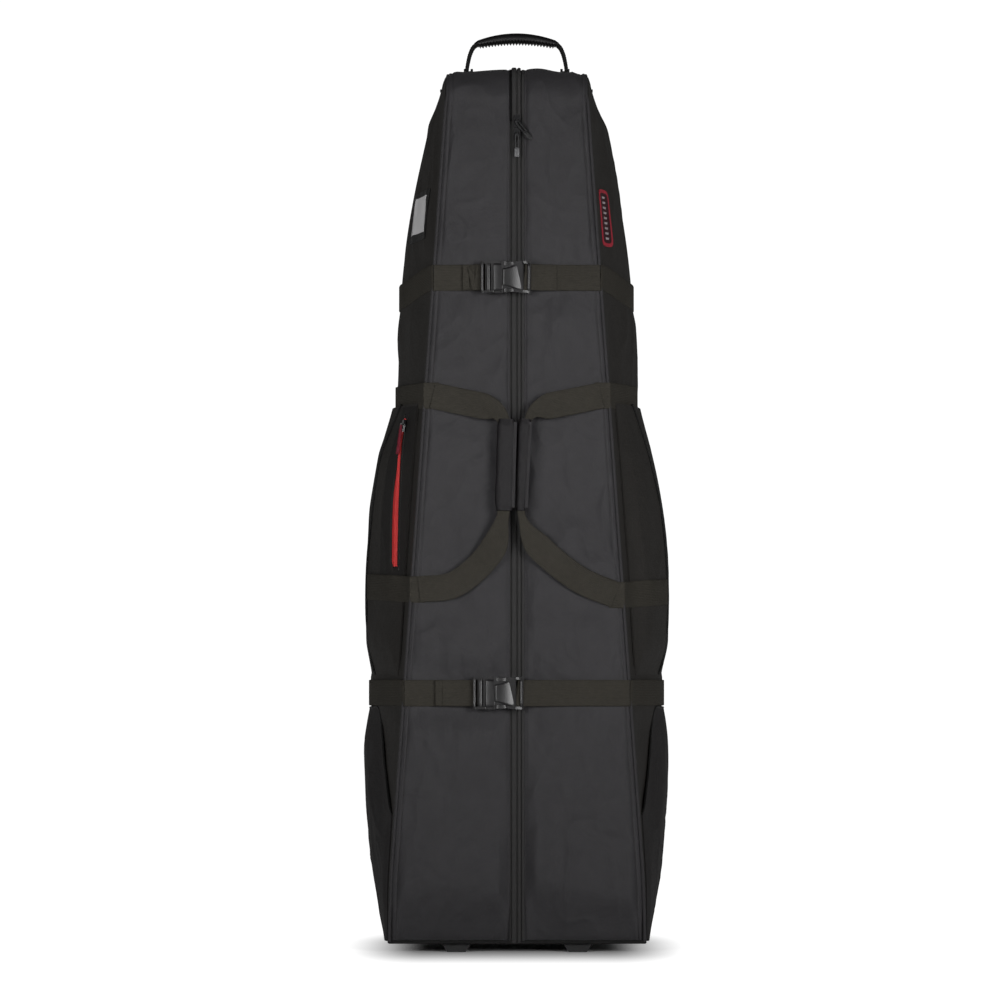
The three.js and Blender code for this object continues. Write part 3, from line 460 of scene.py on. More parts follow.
def flat_section(width, thick, points=5):
    """A webbing section: flat with rounded edges."""
    w, h = width / 2, thick / 2
    top = [(lerp(-w + h, w - h, k / points), h) for k in range(points + 1)]
    end = [(w - 0.2 * h, 0.5 * h), (w, 0), (w - 0.2 * h, -0.5 * h)]
    half = top + end
    return half + [(-a, -b) for a, b in half]


def oval_section(w, h, sides=20, power=2.0):
    ring = []
    for k in range(sides):
        a = 2 * math.pi * k / sides
        c, s = math.cos(a), math.sin(a)
        ring.append((w * math.copysign(abs(c) ** (2 / power), c), h * math.copysign(abs(s) ** (2 / power), s)))
    return ring


def cord(name, points, radius, mat, steps=80, sides=10, up=Vector((0.3, 0.2, 1))):
    return loft(name, smooth_path(points, steps), lambda t: oval_section(radius, radius, sides), lambda t: up, mat)


STITCH_PITCH, STITCH_LENGTH, STITCH_RADIUS = 4.2, 2.9, 0.42


def stitches(name, path, out):
    """Thread lying on a seam whose surface faces out: one slim body for each stitch."""
    arr, dist = measured(path)
    radius, o = STITCH_RADIUS, Vector(out).normalized()
    verts, faces, uvs = [], [], []
    for k in range(int(dist[-1] / STITCH_PITCH)):
        first = k * STITCH_PITCH + 0.5
        a, b = (Vector([np.interp(x, dist, arr[:, c]) for c in range(3)]) for x in (first, first + STITCH_LENGTH))
        side = (b - a).normalized().cross(o)
        base = len(verts)
        for w, r in ((0.0, 0.45), (0.25, 1.0), (0.75, 1.0), (1.0, 0.45)):
            c = a.lerp(b, w)
            for q in (side * radius * r, o * radius * 1.5 * r, -side * radius * r, -o * radius * r):
                verts.append(c + q)
                uvs.append((w * STITCH_LENGTH, 0))
        for ring in range(3):
            for q in range(4):
                p = base + ring * 4
                faces.append((p + q, p + (q + 1) % 4, p + 4 + (q + 1) % 4, p + 4 + q))
        faces.append((base + 3, base + 2, base + 1, base))
        faces.append((base + 12, base + 13, base + 14, base + 15))
    return made(name, verts, faces, uvs, THREAD, sharp=60)


def joined(name, objects):
    """Several meshes as one piece, keeping their materials."""
    bm = bmesh.new()
    mats = []
    for obj in objects:
        for m in obj.data.materials:
            if m not in mats:
                mats.append(m)
    mesh = bpy.data.meshes.new(name)
    for obj in objects:
        before = len(bm.faces)
        bm.from_mesh(obj.data)
        bm.faces.ensure_lookup_table()
        own = list(obj.data.materials)
        for f in bm.faces[before:]:
            f.material_index = mats.index(own[f.material_index])
        bpy.data.objects.remove(obj)
    bm.to_mesh(mesh)
    bm.free()
    for m in mats:
        mesh.materials.append(m)
    return shown(name, mesh)


def finish_cad(mat, bevel, *names):
    """CAD nodes keep their shape; their edges are eased and they get their material."""
    for name in names:
        obj = frame["nodes"][name]
        obj.data.materials.clear()
        obj.data.materials.append(mat)
        flat = obj.modifiers.new("flat", "DECIMATE")
        flat.decimate_type = "DISSOLVE"
        flat.angle_limit = math.radians(2)
        ease = obj.modifiers.new("ease", "BEVEL")
        ease.width = bevel * MM
        ease.segments = 3
        ease.limit_method = "ANGLE"
        ease.angle_limit = math.radians(30)
        ease.harden_normals = True
        obj.data.shade_smooth()
        obj.data.set_sharp_from_angle(angle=math.radians(40))


# ---- front halves and zip
OUT_FRONT, OUT_BACK, OUT_TOP = (0, -1, 0), (0, 1, 0), (0, 0, 1)
STRAIGHT = CROWN_Z - MIDDLE_Z
ARC = CROWN_R * math.pi / 2
CROWN_END = STRAIGHT + ARC


def crest_rise(t):
    """How far the crest stands over the flat top, from the zip at 0 to the seam at 1."""
    return 3.2 * (1 - t ** 8) + 5.0 * (1 - t) ** 1.2 + 1.5


def crown_point(x, s):
    """Follows the front upwards from the middle, then rolls over into the top."""
    t = min(abs(x) / (seam_x(CROWN_Z) + 2), 1)
    bump = crest_rise(t) * smooth(s, STRAIGHT - 10, CROWN_END)
    if s <= STRAIGHT:
        return (x, front_y(MIDDLE_Z + s), MIDDLE_Z + s)
    angle = (s - STRAIGHT) / ARC * math.pi / 2
    return (x, front_y(CROWN_Z) + CROWN_R * (1 - math.cos(angle)), CROWN_Z + (CROWN_R + bump) * math.sin(angle))


def front_relief(side, x, z):
    """Padding, creases, sewn lines and the pinch of the straps, in millimetres off the flat front."""
    seam = seam_x(min(z, CROWN_Z)) - 4
    across = (x - ZIP_EDGE) / (seam - ZIP_EDGE)
    dome = 3.0 * math.sin(math.pi * min(max(across, 0), 1)) ** 0.6 * (1 - 0.85 * smooth(z, 1160, 1228))
    calm = smooth(across, 0.0, 0.12) * fade(across, 0.9, 1.0)
    soft = ripple(x, z, 3 * side, 130, 5.2) + ripple(x, z, 9 * side, 48, 2.0)
    soft += crease(x, z, 2 * side, 90, 2.6) + crease(x + 0.5 * z, z - 0.5 * x, 6 * side, 60, 1.5)
    total = dome + soft * calm
    for strap in (UPPER_Z, LOWER_Z):
        d = abs(z - strap)
        total = lerp(total, 0.1, fade(d, 17, 60))
        pucker = smooth(d, 17, 30) * fade(d, 34, 110)
        total += 3.0 * pucker * calm * wobble(x / 15, z / 70, 4 + side)
    # low down the cloth bellies out, then tucks under with a soft fold across it
    fold = 96 + 14 * math.sin(x / 46 + side) + 8 * wobble(x / 30, 2, side)
    total += 9.0 * smooth(z, 40, fold) * fade(z, fold, 230) * calm
    tuck = fade(z, -30, fold) ** 1.1 * smooth(across, -0.1, 0.12) * (1 - 0.6 * smooth(across, 0.9, 1))
    total = lerp(total, -22.0, tuck)
    # pressed flat where a carry loop's webbing lies on it
    for web_z, web_x in ((522, 80), (800, 55)):
        under_web = smooth(x, web_x - 25, web_x + 15) * fade(abs(z - web_z), 30, 62)
        total = lerp(total, min(total, 0.6), under_web)
    # a pressed groove under each row of stitching
    for line in (13.0, seam - 5):
        total -= 1.3 * math.exp(-((x - line) / 1.5) ** 2)
    return total


def front_half(hand, side):
    def upper(u, v):
        s = lerp(0, CROWN_END, v)
        z = min(MIDDLE_Z + s, CROWN_Z)
        return crown_point(side * lerp(ZIP_EDGE, seam_x(z) - SEAM_INSET, u), s)

    def lower(u, v):
        z = lerp(BASE_Z + 1.5, MIDDLE_Z, v)
        return (side * lerp(ZIP_EDGE, seam_x(z) - SEAM_INSET, u), front_y(z), z)

    pieces = []
    for part, point, rows in (("upper", upper, 220), ("lower", lower, 200)):
        def lift(u, v, point=point):
            x, _, z = point(u, v)
            edge = 1.4 * fade(u, 0, 0.02) + 1.6 * smooth(u, 0.975, 1.0)
            return SHELL / 2 - edge + front_relief(side, abs(x), z)

        def inner(u, v, lift=lift):
            return min(-SHELL / 2, lift(u, v) - 1.8)

        pieces.append(sheet(f"front_{hand}_{part}", point, 76, rows, OUT_FRONT, inner, lift, FRONT))
    upper_part, lower_part = pieces
    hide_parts(f"front_panel_{hand}", "front_crown")
    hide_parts("front_kick")
    tops, bottoms = [upper_part], [lower_part]

    # One half of the closed zip, as (across, lift): half the coil, the tape's folded edge, a groove, the seam.
    if side < 0:
        xs, lifts = [0.02, 0.5, 1.3, 3.0, 6.6, 7.6, 8.3, 9.0, 10.4], [0.0, 0.3, 1.7, 2.0, 2.0, 1.5, -0.4, 0.2, 1.2]
    else:
        xs, lifts = [0.02, 0.5, 1.3, 2.6, 4.6, 5.4, 6.1, 6.9, 10.4], [0.0, 0.3, 1.5, 1.8, 1.8, 1.3, -0.4, 1.2, 1.5]

    def along(u, values):
        return np.interp(u * (len(xs) - 1), range(len(xs)), values)

    for part, low, high, rows in (("upper", 0, CROWN_END, 150), ("lower", BASE_Z + 1.5, MIDDLE_Z, 90)):
        def point(u, v, part=part, low=low, high=high):
            x = side * along(u, xs)
            s = lerp(low, high, v)
            return crown_point(x, s) if part == "upper" else (x, front_y(s), s)

        def lift(u, v, part=part):
            flat = 0.6 + along(u, lifts)
            if part == "lower":
                return flat
            # above the sliders the zip is drawn to one side, which leaves a deep groove on the left
            open_share = smooth(lerp(0, CROWN_END, v), STRAIGHT - 44, STRAIGHT - 24)
            near = fade(u, 0.55, 0.75)
            if side > 0:
                return flat + 2.2 * open_share * near
            return flat + open_share * (2.4 * near - 6.0 * math.exp(-((along(u, xs) - 8.8) / 1.1) ** 2))

        strip = sheet(f"zip_{hand}_{part}", point, 27, rows, OUT_FRONT, -2.6, lift, ZIP)
        (tops if part == "upper" else bottoms).append(strip)
    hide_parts(f"zip_tape_{hand}", "zip_crown")
    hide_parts("zip_kick")

    for part, pieces, low, high in (("upper", tops, MIDDLE_Z, CROWN_Z), ("lower", bottoms, BASE_Z + 4, MIDDLE_Z)):
        lines = []
        for offset in (13.0, -9.0):
            path = []
            for z in np.linspace(low, high, 121):
                x = offset if offset > 0 else seam_x(z) + offset
                path.append(Vector((side * x, front_y(z) - SHELL / 2 - front_relief(side, x, z) - 0.1, z)))
            lines.append(stitches("line", path, OUT_FRONT))
        pieces.append(joined(f"front_stitching_{hand}_{part}", lines))
    return tops, bottoms


# A near-black sheet laid over the groove beside the zip's open top paints the shade in the gap.
gap = sheet(
    "zip_gap_painted_shade", lambda u, v: crown_point(lerp(-10.4, -7.4, u), lerp(STRAIGHT - 30, CROWN_END - 1, v)),
    6, 60, OUT_FRONT, -1.0, lambda u, v: 3.4 - 1.2 * math.sin(math.pi * u), GAP_PAINTED_SHADE,
)
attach(gap, "case")

for hand, side in SIDES:
    tops, bottoms = front_half(hand, side)
    for piece in tops:
        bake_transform(piece)
    for piece in bottoms:
        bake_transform(piece)


# ---- gussets, back and top
def gusset_relief(side, u, z):
    calm = smooth(u, 0.0, 0.12) * fade(u, 0.9, 1.0)
    soft = ripple(u * 250, z, 20 + side, 110, 4.4) + crease(u * 260, z * 0.6, 31 + side, 90, 2.6)
    total = 2.0 * math.sin(math.pi * u) + soft * calm
    total = lerp(total, -0.2, fade(abs(z - UPPER_Z), 18, 60))
    total = lerp(total, 6.0 * math.sin(math.pi * min(u * 1.4, 0.5)), fade(abs(z - LOWER_Z), 18, 60))
    calm_top = fade(z, 1200, 1240)
    total *= calm_top
    in_pocket = smooth(z, 395, 420) * fade(z, 790, 830) + fade(z, 290, 345)
    return total * (1 - 0.75 * in_pocket)


def relief_point(side, u, z, lift):
    """A point off the gusset's middle layer, along its outward normal."""
    e = 1e-3
    a, b = Vector(side_point(side, u + e, z)), Vector(side_point(side, u - e, z))
    c, d = Vector(side_point(side, u, z + 1)), Vector(side_point(side, u, z - 1))
    n = (a - b).cross(c - d).normalized()
    if n.x * side < 0:
        n = -n
    return Vector(side_point(side, u, z)) + n * lift, n


CORNER_V = 0.86  # the rows above it follow the corner's curve


def gusset_z(v):
    if v < CORNER_V:
        return lerp(BASE_Z + 1, CROWN_Z, v / CORNER_V)
    return CREST_Z - CROWN_R * (1 - math.sin(math.pi / 2 * (v - CORNER_V) / (1 - CORNER_V)))


def gusset_point(side, u, v):
    """The gusset's outline: its top front corner is rounded with the crown."""
    angle = math.pi / 2 * max(v - CORNER_V, 0) / (1 - CORNER_V)
    z = gusset_z(v)
    start_u = CROWN_R * (1 - math.cos(angle)) / (BACK_Y - front_y(z))
    return side_point(side, lerp(start_u, 0.99, u), z)


for hand, side in SIDES:
    gusset = sheet(
        f"gusset_{hand}",
        lambda u, v: gusset_point(side, u, v),
        40, 260, (side, 0, 0), -SHELL / 2,
        lambda u, v: SHELL / 2 + gusset_relief(side, u, gusset_z(v)), SIDE,
    )
    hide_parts(f"side_panel_{hand}")
    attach(gusset, "case")


def back_lift(u, v):
    z = lerp(BASE_Z + 1, CREST_Z - 4, v)
    x = lerp(-1, 1, u) * back_x(z)
    channels = min(abs(abs(x) - 62), 20) / 20
    puff = 2.2 * math.sin(math.pi * channels / 2) * math.sin(math.pi * u) ** 0.3
    edge = smooth(z, 12, 40) * fade(z, 1230, 1262)
    return SHELL / 2 + edge * (puff + ripple(x, z, 55, 110, 1.4) + crease(x, z, 57, 70, 0.8))


def back_point(u, v):
    z = lerp(BASE_Z + 1, CREST_Z - 4, v)
    return (lerp(-1, 1, u) * (back_x(z) - 2), BACK_Y, z)


back = sheet("back_cover", back_point, 90, 200, OUT_BACK, -SHELL / 2, back_lift, SIDE)
# room for the wheel housings, in metres
HOUSING_TOP, HOUSING_X, HOUSING_HALF = 0.0790, 0.087, 0.0247
bm = bmesh.new()
bm.from_mesh(back.data)
hole = [v for v in bm.verts if v.co.z < HOUSING_TOP and abs(abs(v.co.x) - HOUSING_X) < HOUSING_HALF]
bmesh.ops.delete(bm, geom=hole, context="VERTS")
bmesh.ops.holes_fill(bm, edges=[e for e in bm.edges if e.is_boundary], sides=0)
bm.to_mesh(back.data)
bm.free()
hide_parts("back_panel")
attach(back, "case")


def top_point(u, v):
    y = lerp(FRONT_CREST_Y + CROWN_R, BACK_Y + 2, v)
    x = lerp(SEAM_CREST_X, back_x(CREST_Z), v) + 1
    t = abs(2 * u - 1)
    bulge = crest_rise(t) * fade(v, 0.05, 0.4)
    return (lerp(-x, x, u), y, CREST_Z + bulge)


def top_lift(u, v):
    return SHELL / 2 - 1.5 + ripple(u * 200, v * 200, 71, 60, 1.0) * math.sin(math.pi * u) * math.sin(math.pi * v)


top = sheet("top_cover", top_point, 50, 46, OUT_TOP, -SHELL / 2, top_lift, SIDE)
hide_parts("top_panel")
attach(top, "case")


def piping(name, points, radius=2.5, mat=BIND):
    piece = cord(name, points, radius, mat, steps=150)
    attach(piece, "case")
    return piece


for hand, side in SIDES:
    front_line = [(side * seam_x(z), front_y(z) - 0.9, z) for z in np.linspace(BASE_Z + 3, CROWN_Z - 4, 24)]
    over = []
    for k in range(1, 7):
        _, y, z = crown_point(SEAM_CREST_X, STRAIGHT + ARC * k / 6)
        over.append((side * (SEAM_CREST_X + 0.6), y, z - 0.6))
    for t in (0.3, 0.5, 0.75, 1):
        x, y = lerp(SEAM_CREST_X, back_x(CREST_Z), t) + 1, lerp(FRONT_CREST_Y + CROWN_R, BACK_Y, t)
        over.append((side * x, y, CREST_Z + 0.5))
    cordage = piping(f"front_piping_{hand}_cord", front_line + over, mat=PIPE)
    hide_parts(f"front_piping_{hand}")
    rear_line = [(side * (back_x(z) + 0.5), BACK_Y - 0.5, z) for z in np.linspace(BASE_Z + 3, CREST_Z, 26)]
    piping(f"back_piping_{hand}_cord", rear_line)
piping("back_piping_top_cord", [(x, BACK_Y + 1, CREST_Z + 0.5) for x in np.linspace(-114, 114, 8)])
piping("base_piping_front_cord", [(x, front_y(BASE_Z) + 0.5, BASE_Z + 3) for x in np.linspace(-184, 184, 8)], 2.6)


# ---- side pockets
POCKET_LOW, POCKET_HIGH, POCKET_FRONT, POCKET_BACK, POCKET_SWELL = 396, 790, 0.1, 0.93, 17
pocket_shape = {
    -1: through([(0, 0.66), (0.25, 0.76), (0.45, 0.84), (0.64, 0.88), (0.8, 0.74), (1, 0.1)]),
    1: through([(0, 0.75), (0.25, 0.96), (0.45, 0.98), (0.72, 0.72), (1, 0.08)]),
}


def pocket_lift(side, u, v):
    """How far the pocket stands off the gusset's middle layer."""
    swell = max(math.sin(math.pi * min(max(u, 0), 1)), 0) ** 0.5
    body = 2.5 + POCKET_SWELL * pocket_shape[side](v) * (0.35 + 0.65 * swell)
    rim = min(smooth(u, -0.04, 0.16), fade(u, 0.9, 1.01), smooth(v, -0.05, 0.14))
    z = lerp(POCKET_LOW, POCKET_HIGH, v)
    soft = ripple(u * 210, z, 40 + side, 90, 3.4) + crease(u * 210, z * 0.7, 44 + side, 80, 1.6)
    soft *= smooth(u, 0.03, 0.25) * fade(u, 0.75, 0.97) * smooth(v, 0.0, 0.2)
    return SHELL / 2 + 1.3 + lerp(1.6, body, rim) + soft * (1 - 0.8 * smooth(v, 0.75, 1))


def pocket_point(side, u, z, lift):
    v = (z - POCKET_LOW) / (POCKET_HIGH - POCKET_LOW)
    return relief_point(side, lerp(POCKET_FRONT, POCKET_BACK, u), z, pocket_lift(side, u, v) + lift)


for hand, side in SIDES:
    pocket = sheet(
        f"side_pocket_{hand}_cover",
        lambda u, v: side_point(side, lerp(POCKET_FRONT, POCKET_BACK, u), lerp(POCKET_LOW, POCKET_HIGH, v)),
        56, 100, (side, 0, 0), SHELL / 2 + 0.9, lambda u, v: pocket_lift(side, u, v), SIDE,
    )
    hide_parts(f"side_pocket_{hand}")
    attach(pocket, "case")
    line = [(792, 0.44), (770, 0.5), (715, 0.58), (640, 0.64), (560, 0.68), (480, 0.68), (420, 0.66), (398, 0.64)]
    piece = cord(f"pocket_piping_{hand}", [pocket_point(side, u, z, 0.7)[0] for z, u in line], 1.9, BIND, steps=120)
    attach(piece, "case")

# The left pocket: a dark facing from the front seam on, with the red zip in it on a raised welt.
POCKET_OUT = (-1, -0.4, 0)


def facing_lift(u, v):
    rim = min(smooth(u, 0, 0.03), fade(u, 0.96, 1), smooth(v, 0, 0.02), fade(v, 0.98, 1))
    return 0.3 + 0.7 * rim


facing = sheet(
    "pocket_facing",
    lambda u, v: pocket_point(-1, lerp(0.004, 0.36, u), lerp(537, 786, v), 0)[0],
    40, 70, POCKET_OUT, 0.05, facing_lift, DARK,
)
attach(facing, "case")
ZIP_LOW, ZIP_HIGH = 553, 776


def welt(du, z, lift=0.0):
    """Across the pocket zip: its front edge lies flat and its back edge stands up on a welt."""
    t = (z - ZIP_LOW) / (ZIP_HIGH - ZIP_LOW)
    middle = lerp(0.088, 0.15, t) + 0.03 * smooth(t, 0.55, 1.0)
    p, n = pocket_point(-1, middle + du, z, 1.2)
    rise = 4.0 * smooth(du, -0.026, 0.026)
    ends = smooth(z, ZIP_LOW - 8, ZIP_LOW + 10) * fade(z, ZIP_HIGH - 6, ZIP_HIGH + 6)
    return p + n * (rise * ends * (0.4 if z > 700 else lerp(1, 0.4, smooth(z, 640, 700))) + lift)


red = sheet(
    "pocket_zip_tape",
    lambda u, v: welt(lerp(-1, 1, u) * lerp(0.016, 0.011, smooth(v, 0.5, 0.75)), lerp(ZIP_LOW, ZIP_HIGH - 8, v)),
    14, 90, POCKET_OUT, -0.5, lambda u, v: 0.1 + 2.2 * math.exp(-((u - 0.5) / 0.24) ** 2), RED,
)
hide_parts("pocket_zip")
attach(red, "case")
welt_rows = np.linspace(ZIP_LOW - 6, ZIP_HIGH + 4, 60)
for k, du in enumerate((-0.022, 0.024)):
    edge = cord(f"pocket_zip_edge_{k}", [welt(du, z, -0.2) for z in welt_rows[::4]], 1.3, DARK)
    row = [welt(du * 1.5, z, -0.3 if k else 0.1) for z in welt_rows]
    line = stitches(f"pocket_zip_stitching_{k}", row, POCKET_OUT)
    for piece, slot in ((edge, "side_fabric"), (line, "webbing")):
        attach(piece, "case")

slash_top = through([(0, 196), (0.14, 224), (0.27, 256), (0.37, 294), (0.44, 332), (0.5, 347), (0.65, 349), (1, 349)])
slash_swell = through([(0, 0.1), (0.12, 0.42), (0.4, 0.84), (0.7, 1.02), (0.86, 0.94), (0.94, 0.7), (1, 0.42)])


def slash_lift(u, v):
    sewn = fade(u, 0.86, 0.985) * smooth(u, -0.02, 0.06)
    bulge = 17 * max(math.sin(math.pi * min(max(u, 0), 1) ** 1.25), 0) ** 0.6
    mouth = 1 - 0.85 * smooth(v, 0.6, 1.0) * fade(u, 0.42, 0.75)
    return 1.6 + 2.7 * sewn + sewn * bulge * slash_swell(v) * mouth


def slash_z(u, v):
    return lerp(15, slash_top(u), v)


for hand, side in SIDES:
    def slash_at(u, v, lift):
        soft = ripple(u * 200, v * 300, 80 + side, 60, 2.2) + crease(u * 200, v * 300, 84 + side, 50, 1.6)
        soft *= math.sin(math.pi * min(max(u, 0), 1)) * smooth(v, 0, 0.25) * (1 - 0.6 * smooth(v, 0.8, 1))
        return relief_point(side, lerp(0.07, 0.95, u), slash_z(u, v), SHELL / 2 + slash_lift(u, v) + soft + lift)

    pocket = sheet(
        f"slash_pocket_{hand}", lambda u, v: slash_at(u, v, -1.2)[0],
        50, 70, (side, 0, 0), -1.2, 1.2, LOWER,
    )
    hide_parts(f"lower_pocket_{hand}")
    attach(pocket, "case")
    edge = [slash_at(u, 1.0, -1.2)[0] for u in np.linspace(0.0, 1.0, 30)]
    hem = cord(f"slash_binding_{hand}", edge, 1.9, BIND)
    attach(hem, "case")


# ---- straps
LEAN = Vector((0, -1, 0.051)).normalized()  # straight out from the leaning front


def tangent_at(path, t):
    last = len(path) - 1
    i = min(int(round(t * last)), last)
    return i, (path[min(i + 1, last)] - path[max(i - 1, 0)]).normalized()


def web(name, path, out=lambda t: LEAN, width=lambda t: WEBBING):
    """Webbing along a path; out(t) points away from what it lies on."""
    return loft(name, path, lambda t: flat_section(width(t), 2.0), lambda t: tangent_at(path, t)[1].cross(out(t)), WEB)


def front_path(points, steps=60):
    """Points as (x, z, lift off the front), smoothed."""
    return smooth_path([(x, front_y(z) - lift, z) for x, z, lift in points], steps)


for level, z, mouth, tail in (("upper", UPPER_Z, -23, -78), ("lower", LOWER_Z, -34, -117)):
    edge = seam_x(z) - 0.5
    ladder = mouth - 20
    left = front_path([
        (-edge, z, 4.6), (-edge + 14, z, 4.6), (lerp(-edge, ladder, 0.6), z, 6.6), (ladder - 16, z, 11.5),
        (ladder - 6, z, 13.4), (ladder + 4, z, 14.4),
    ], 90)
    lower_layer = web("a", left)
    free = front_path([
        (ladder + 3, z, 16.2), (ladder - 6, z, 15.6), (ladder - 16, z, 13.8), (lerp(tail, ladder, 0.5), z, 10.6),
        (tail + 8, z, 8.4), (tail, z, 8.2),
    ], 60)
    upper_layer = web("b", free)
    fold = web("c", front_path([(tail + 9, z, 10.2), (tail, z, 10.6)], 6), width=lambda t: WEBBING - 1)
    strap = joined(f"{level}_strap_left_web", [lower_layer, upper_layer, fold])
    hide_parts(f"{level}_strap_left")
    bar = mouth + 36
    right = front_path([
        (edge, z, 4.6), (edge - 14, z, 4.6), (lerp(edge, bar, 0.6), z, 6.8), (bar + 18, z, 13.0), (bar + 6, z, 16.5),
        (bar + 0.5, z, 18.5), (bar - 2.0, z, 20.0), (bar + 0.5, z, 21.6), (bar + 8, z, 19.6), (bar + 22, z, 13.6),
        (bar + 44, z, 9.2),
    ], 110)
    strap_right = web(f"{level}_strap_right_web", right)
    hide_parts(f"{level}_strap_right")
    for piece, body in ((strap, "flap_left"), (strap_right, "flap_right")):
        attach(piece, body)
    # the strap would shorten as its buckle end slides out of the socket; here its length and anchor are only worked
    # out, and it gets a mesh of its own
    length = edge + ladder + 4
    anchor = (-edge * MM, front_y(z) * MM, z * MM)
    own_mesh(strap)

    # The strap goes on round the sides and the back.
    around = []
    drop = 15.0 if level == "upper" else 0.0
    for s, order in ((-1, range(13)), (1, range(12, -1, -1))):
        row = []
        for k in order:
            u = lerp(0.03, 0.965, k / 12)
            h = z - drop * smooth(u, 0, 0.7)
            row.append(relief_point(s, u, h, SHELL / 2 + 1.6 + max(gusset_relief(s, u, h), 0))[0])
        sx, fy, low = seam_x(z), front_y(z), z - drop
        bx = back_x(low)
        seam = [(s * (sx + 0.2), fy - 4.4, z), (s * (sx + 3.2), fy - 0.8, z - 0.3)]
        corner = [(s * (bx + 4.0), BACK_Y - 4, low), (s * (bx - 1.5), BACK_Y + 5.0, low)]
        across_back = [(s * x, BACK_Y + SHELL / 2 + 4.2, low) for x in (bx * 0.8, 90, 40)]
        around += seam + row + corner + across_back if s < 0 else across_back[::-1] + corner[::-1] + row + seam[::-1]
    path = smooth_path(around, 220)
    centre = Vector((0, 0, z))

    def outwards(t, path=path, centre=centre):
        i, tangent = tangent_at(path, t)
        normal = tangent.cross(Vector(OUT_TOP))
        return -normal if normal.dot(path[i] - centre) < 0 else normal

    wrap = web(f"{level}_strap_wrap_web", path, outwards)
    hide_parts(f"{level}_strap_wrap")
    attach(wrap, "case")


# ---- buckles' outer faces
RIGHTWARDS = Vector((1, 0, 0))


def crowned(name, x0, x1, half0, half1, z, lift, tilt0, tilt1, edge):
    """A moulded face that turns from tilt0 to tilt1 degrees along its width and rolls off at its top and bottom."""
    width = x1 - x0

    def fall(u):
        first, last = math.tan(math.radians(tilt0)), math.tan(math.radians(tilt1))
        return width * (first * (u - u * u / 2) + last * u * u / 2)

    def at(u, v):
        half = lerp(half0, half1, smooth(u) if half0 != half1 else u)
        up = lerp(-1, 1, v)
        roll = edge * (1 - math.sqrt(max(1 - max(abs(up) - 0.82, 0) ** 2 / 0.0324, 0)))
        ends = 0.7 * edge * (max(0.07 - u, 0, u - 0.93) / 0.07) ** 2
        off = lift - fall(u) - roll - ends
        return (lerp(x0, x1, u), front_y(z + up * half) - off, z + up * half)

    return sheet(name, at, 26, 30, OUT_FRONT, -2.4, 0.0, ACETAL)


def bar_cover(name, x, width, half, z, lift):
    path = []
    for h in np.linspace(-half, half, 15):
        path.append(Vector((x, front_y(z + h) - lift + 1.2 * smooth(abs(h), half - 3, half), z + h)))
    return loft(name, path, lambda t: oval_section(width / 2, 2.3, 18, 2.3), lambda t: RIGHTWARDS, ACETAL)


for level, z, mouth in (("upper", UPPER_Z, -23), ("lower", LOWER_Z, -34)):
    ladder_bars = [bar_cover("a", mouth - 27.2, 4.6, 22.5, z, 22.0), bar_cover("b", mouth - 18.2, 5.6, 21.0, z, 22.0)]
    rails = [crowned("c", mouth - 27, mouth - 10, 2.0, 2.0, z + s * 21.2, 23.3, -2, 2, 1.2) for s in (-1, 1)]
    plate = crowned("d", mouth - 11.5, mouth + 3.0, 20.5, 19.5, z, 24.2, -9, 3, 2.0)
    plug_cover = joined(f"{level}_plug_cover", ladder_bars + rails + [plate])
    tongue = crowned("e", mouth + 2.0, mouth + 31, 12.5, 20.0, z, 27.6, -4, 17, 1.6)
    prongs = [crowned("f", mouth + 3.5, mouth + 19, 3.6, 2.6, z + s * 19.6, 26.4, -12, 14, 2.2) for s in (-1, 1)]
    tips = [crowned("g", mouth + 31, mouth + 42, 2.2, 2.6, z + s * 21.2, 25.6, 8, 16, 1.6) for s in (-1, 1)]
    far_bar = bar_cover("h", mouth + 40, 4.4, 19.5, z, 23.6)
    socket_cover = joined(f"{level}_socket_cover", [tongue] + prongs + tips + [far_bar])
    for piece, body in ((plug_cover, f"{level}_plug"), (socket_cover, "flap_right")):
        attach(piece, body)


# ---- carry loops
LOOP_HIGH, GRIP_HIGH, GRIP_LOW = 800, 763, 632
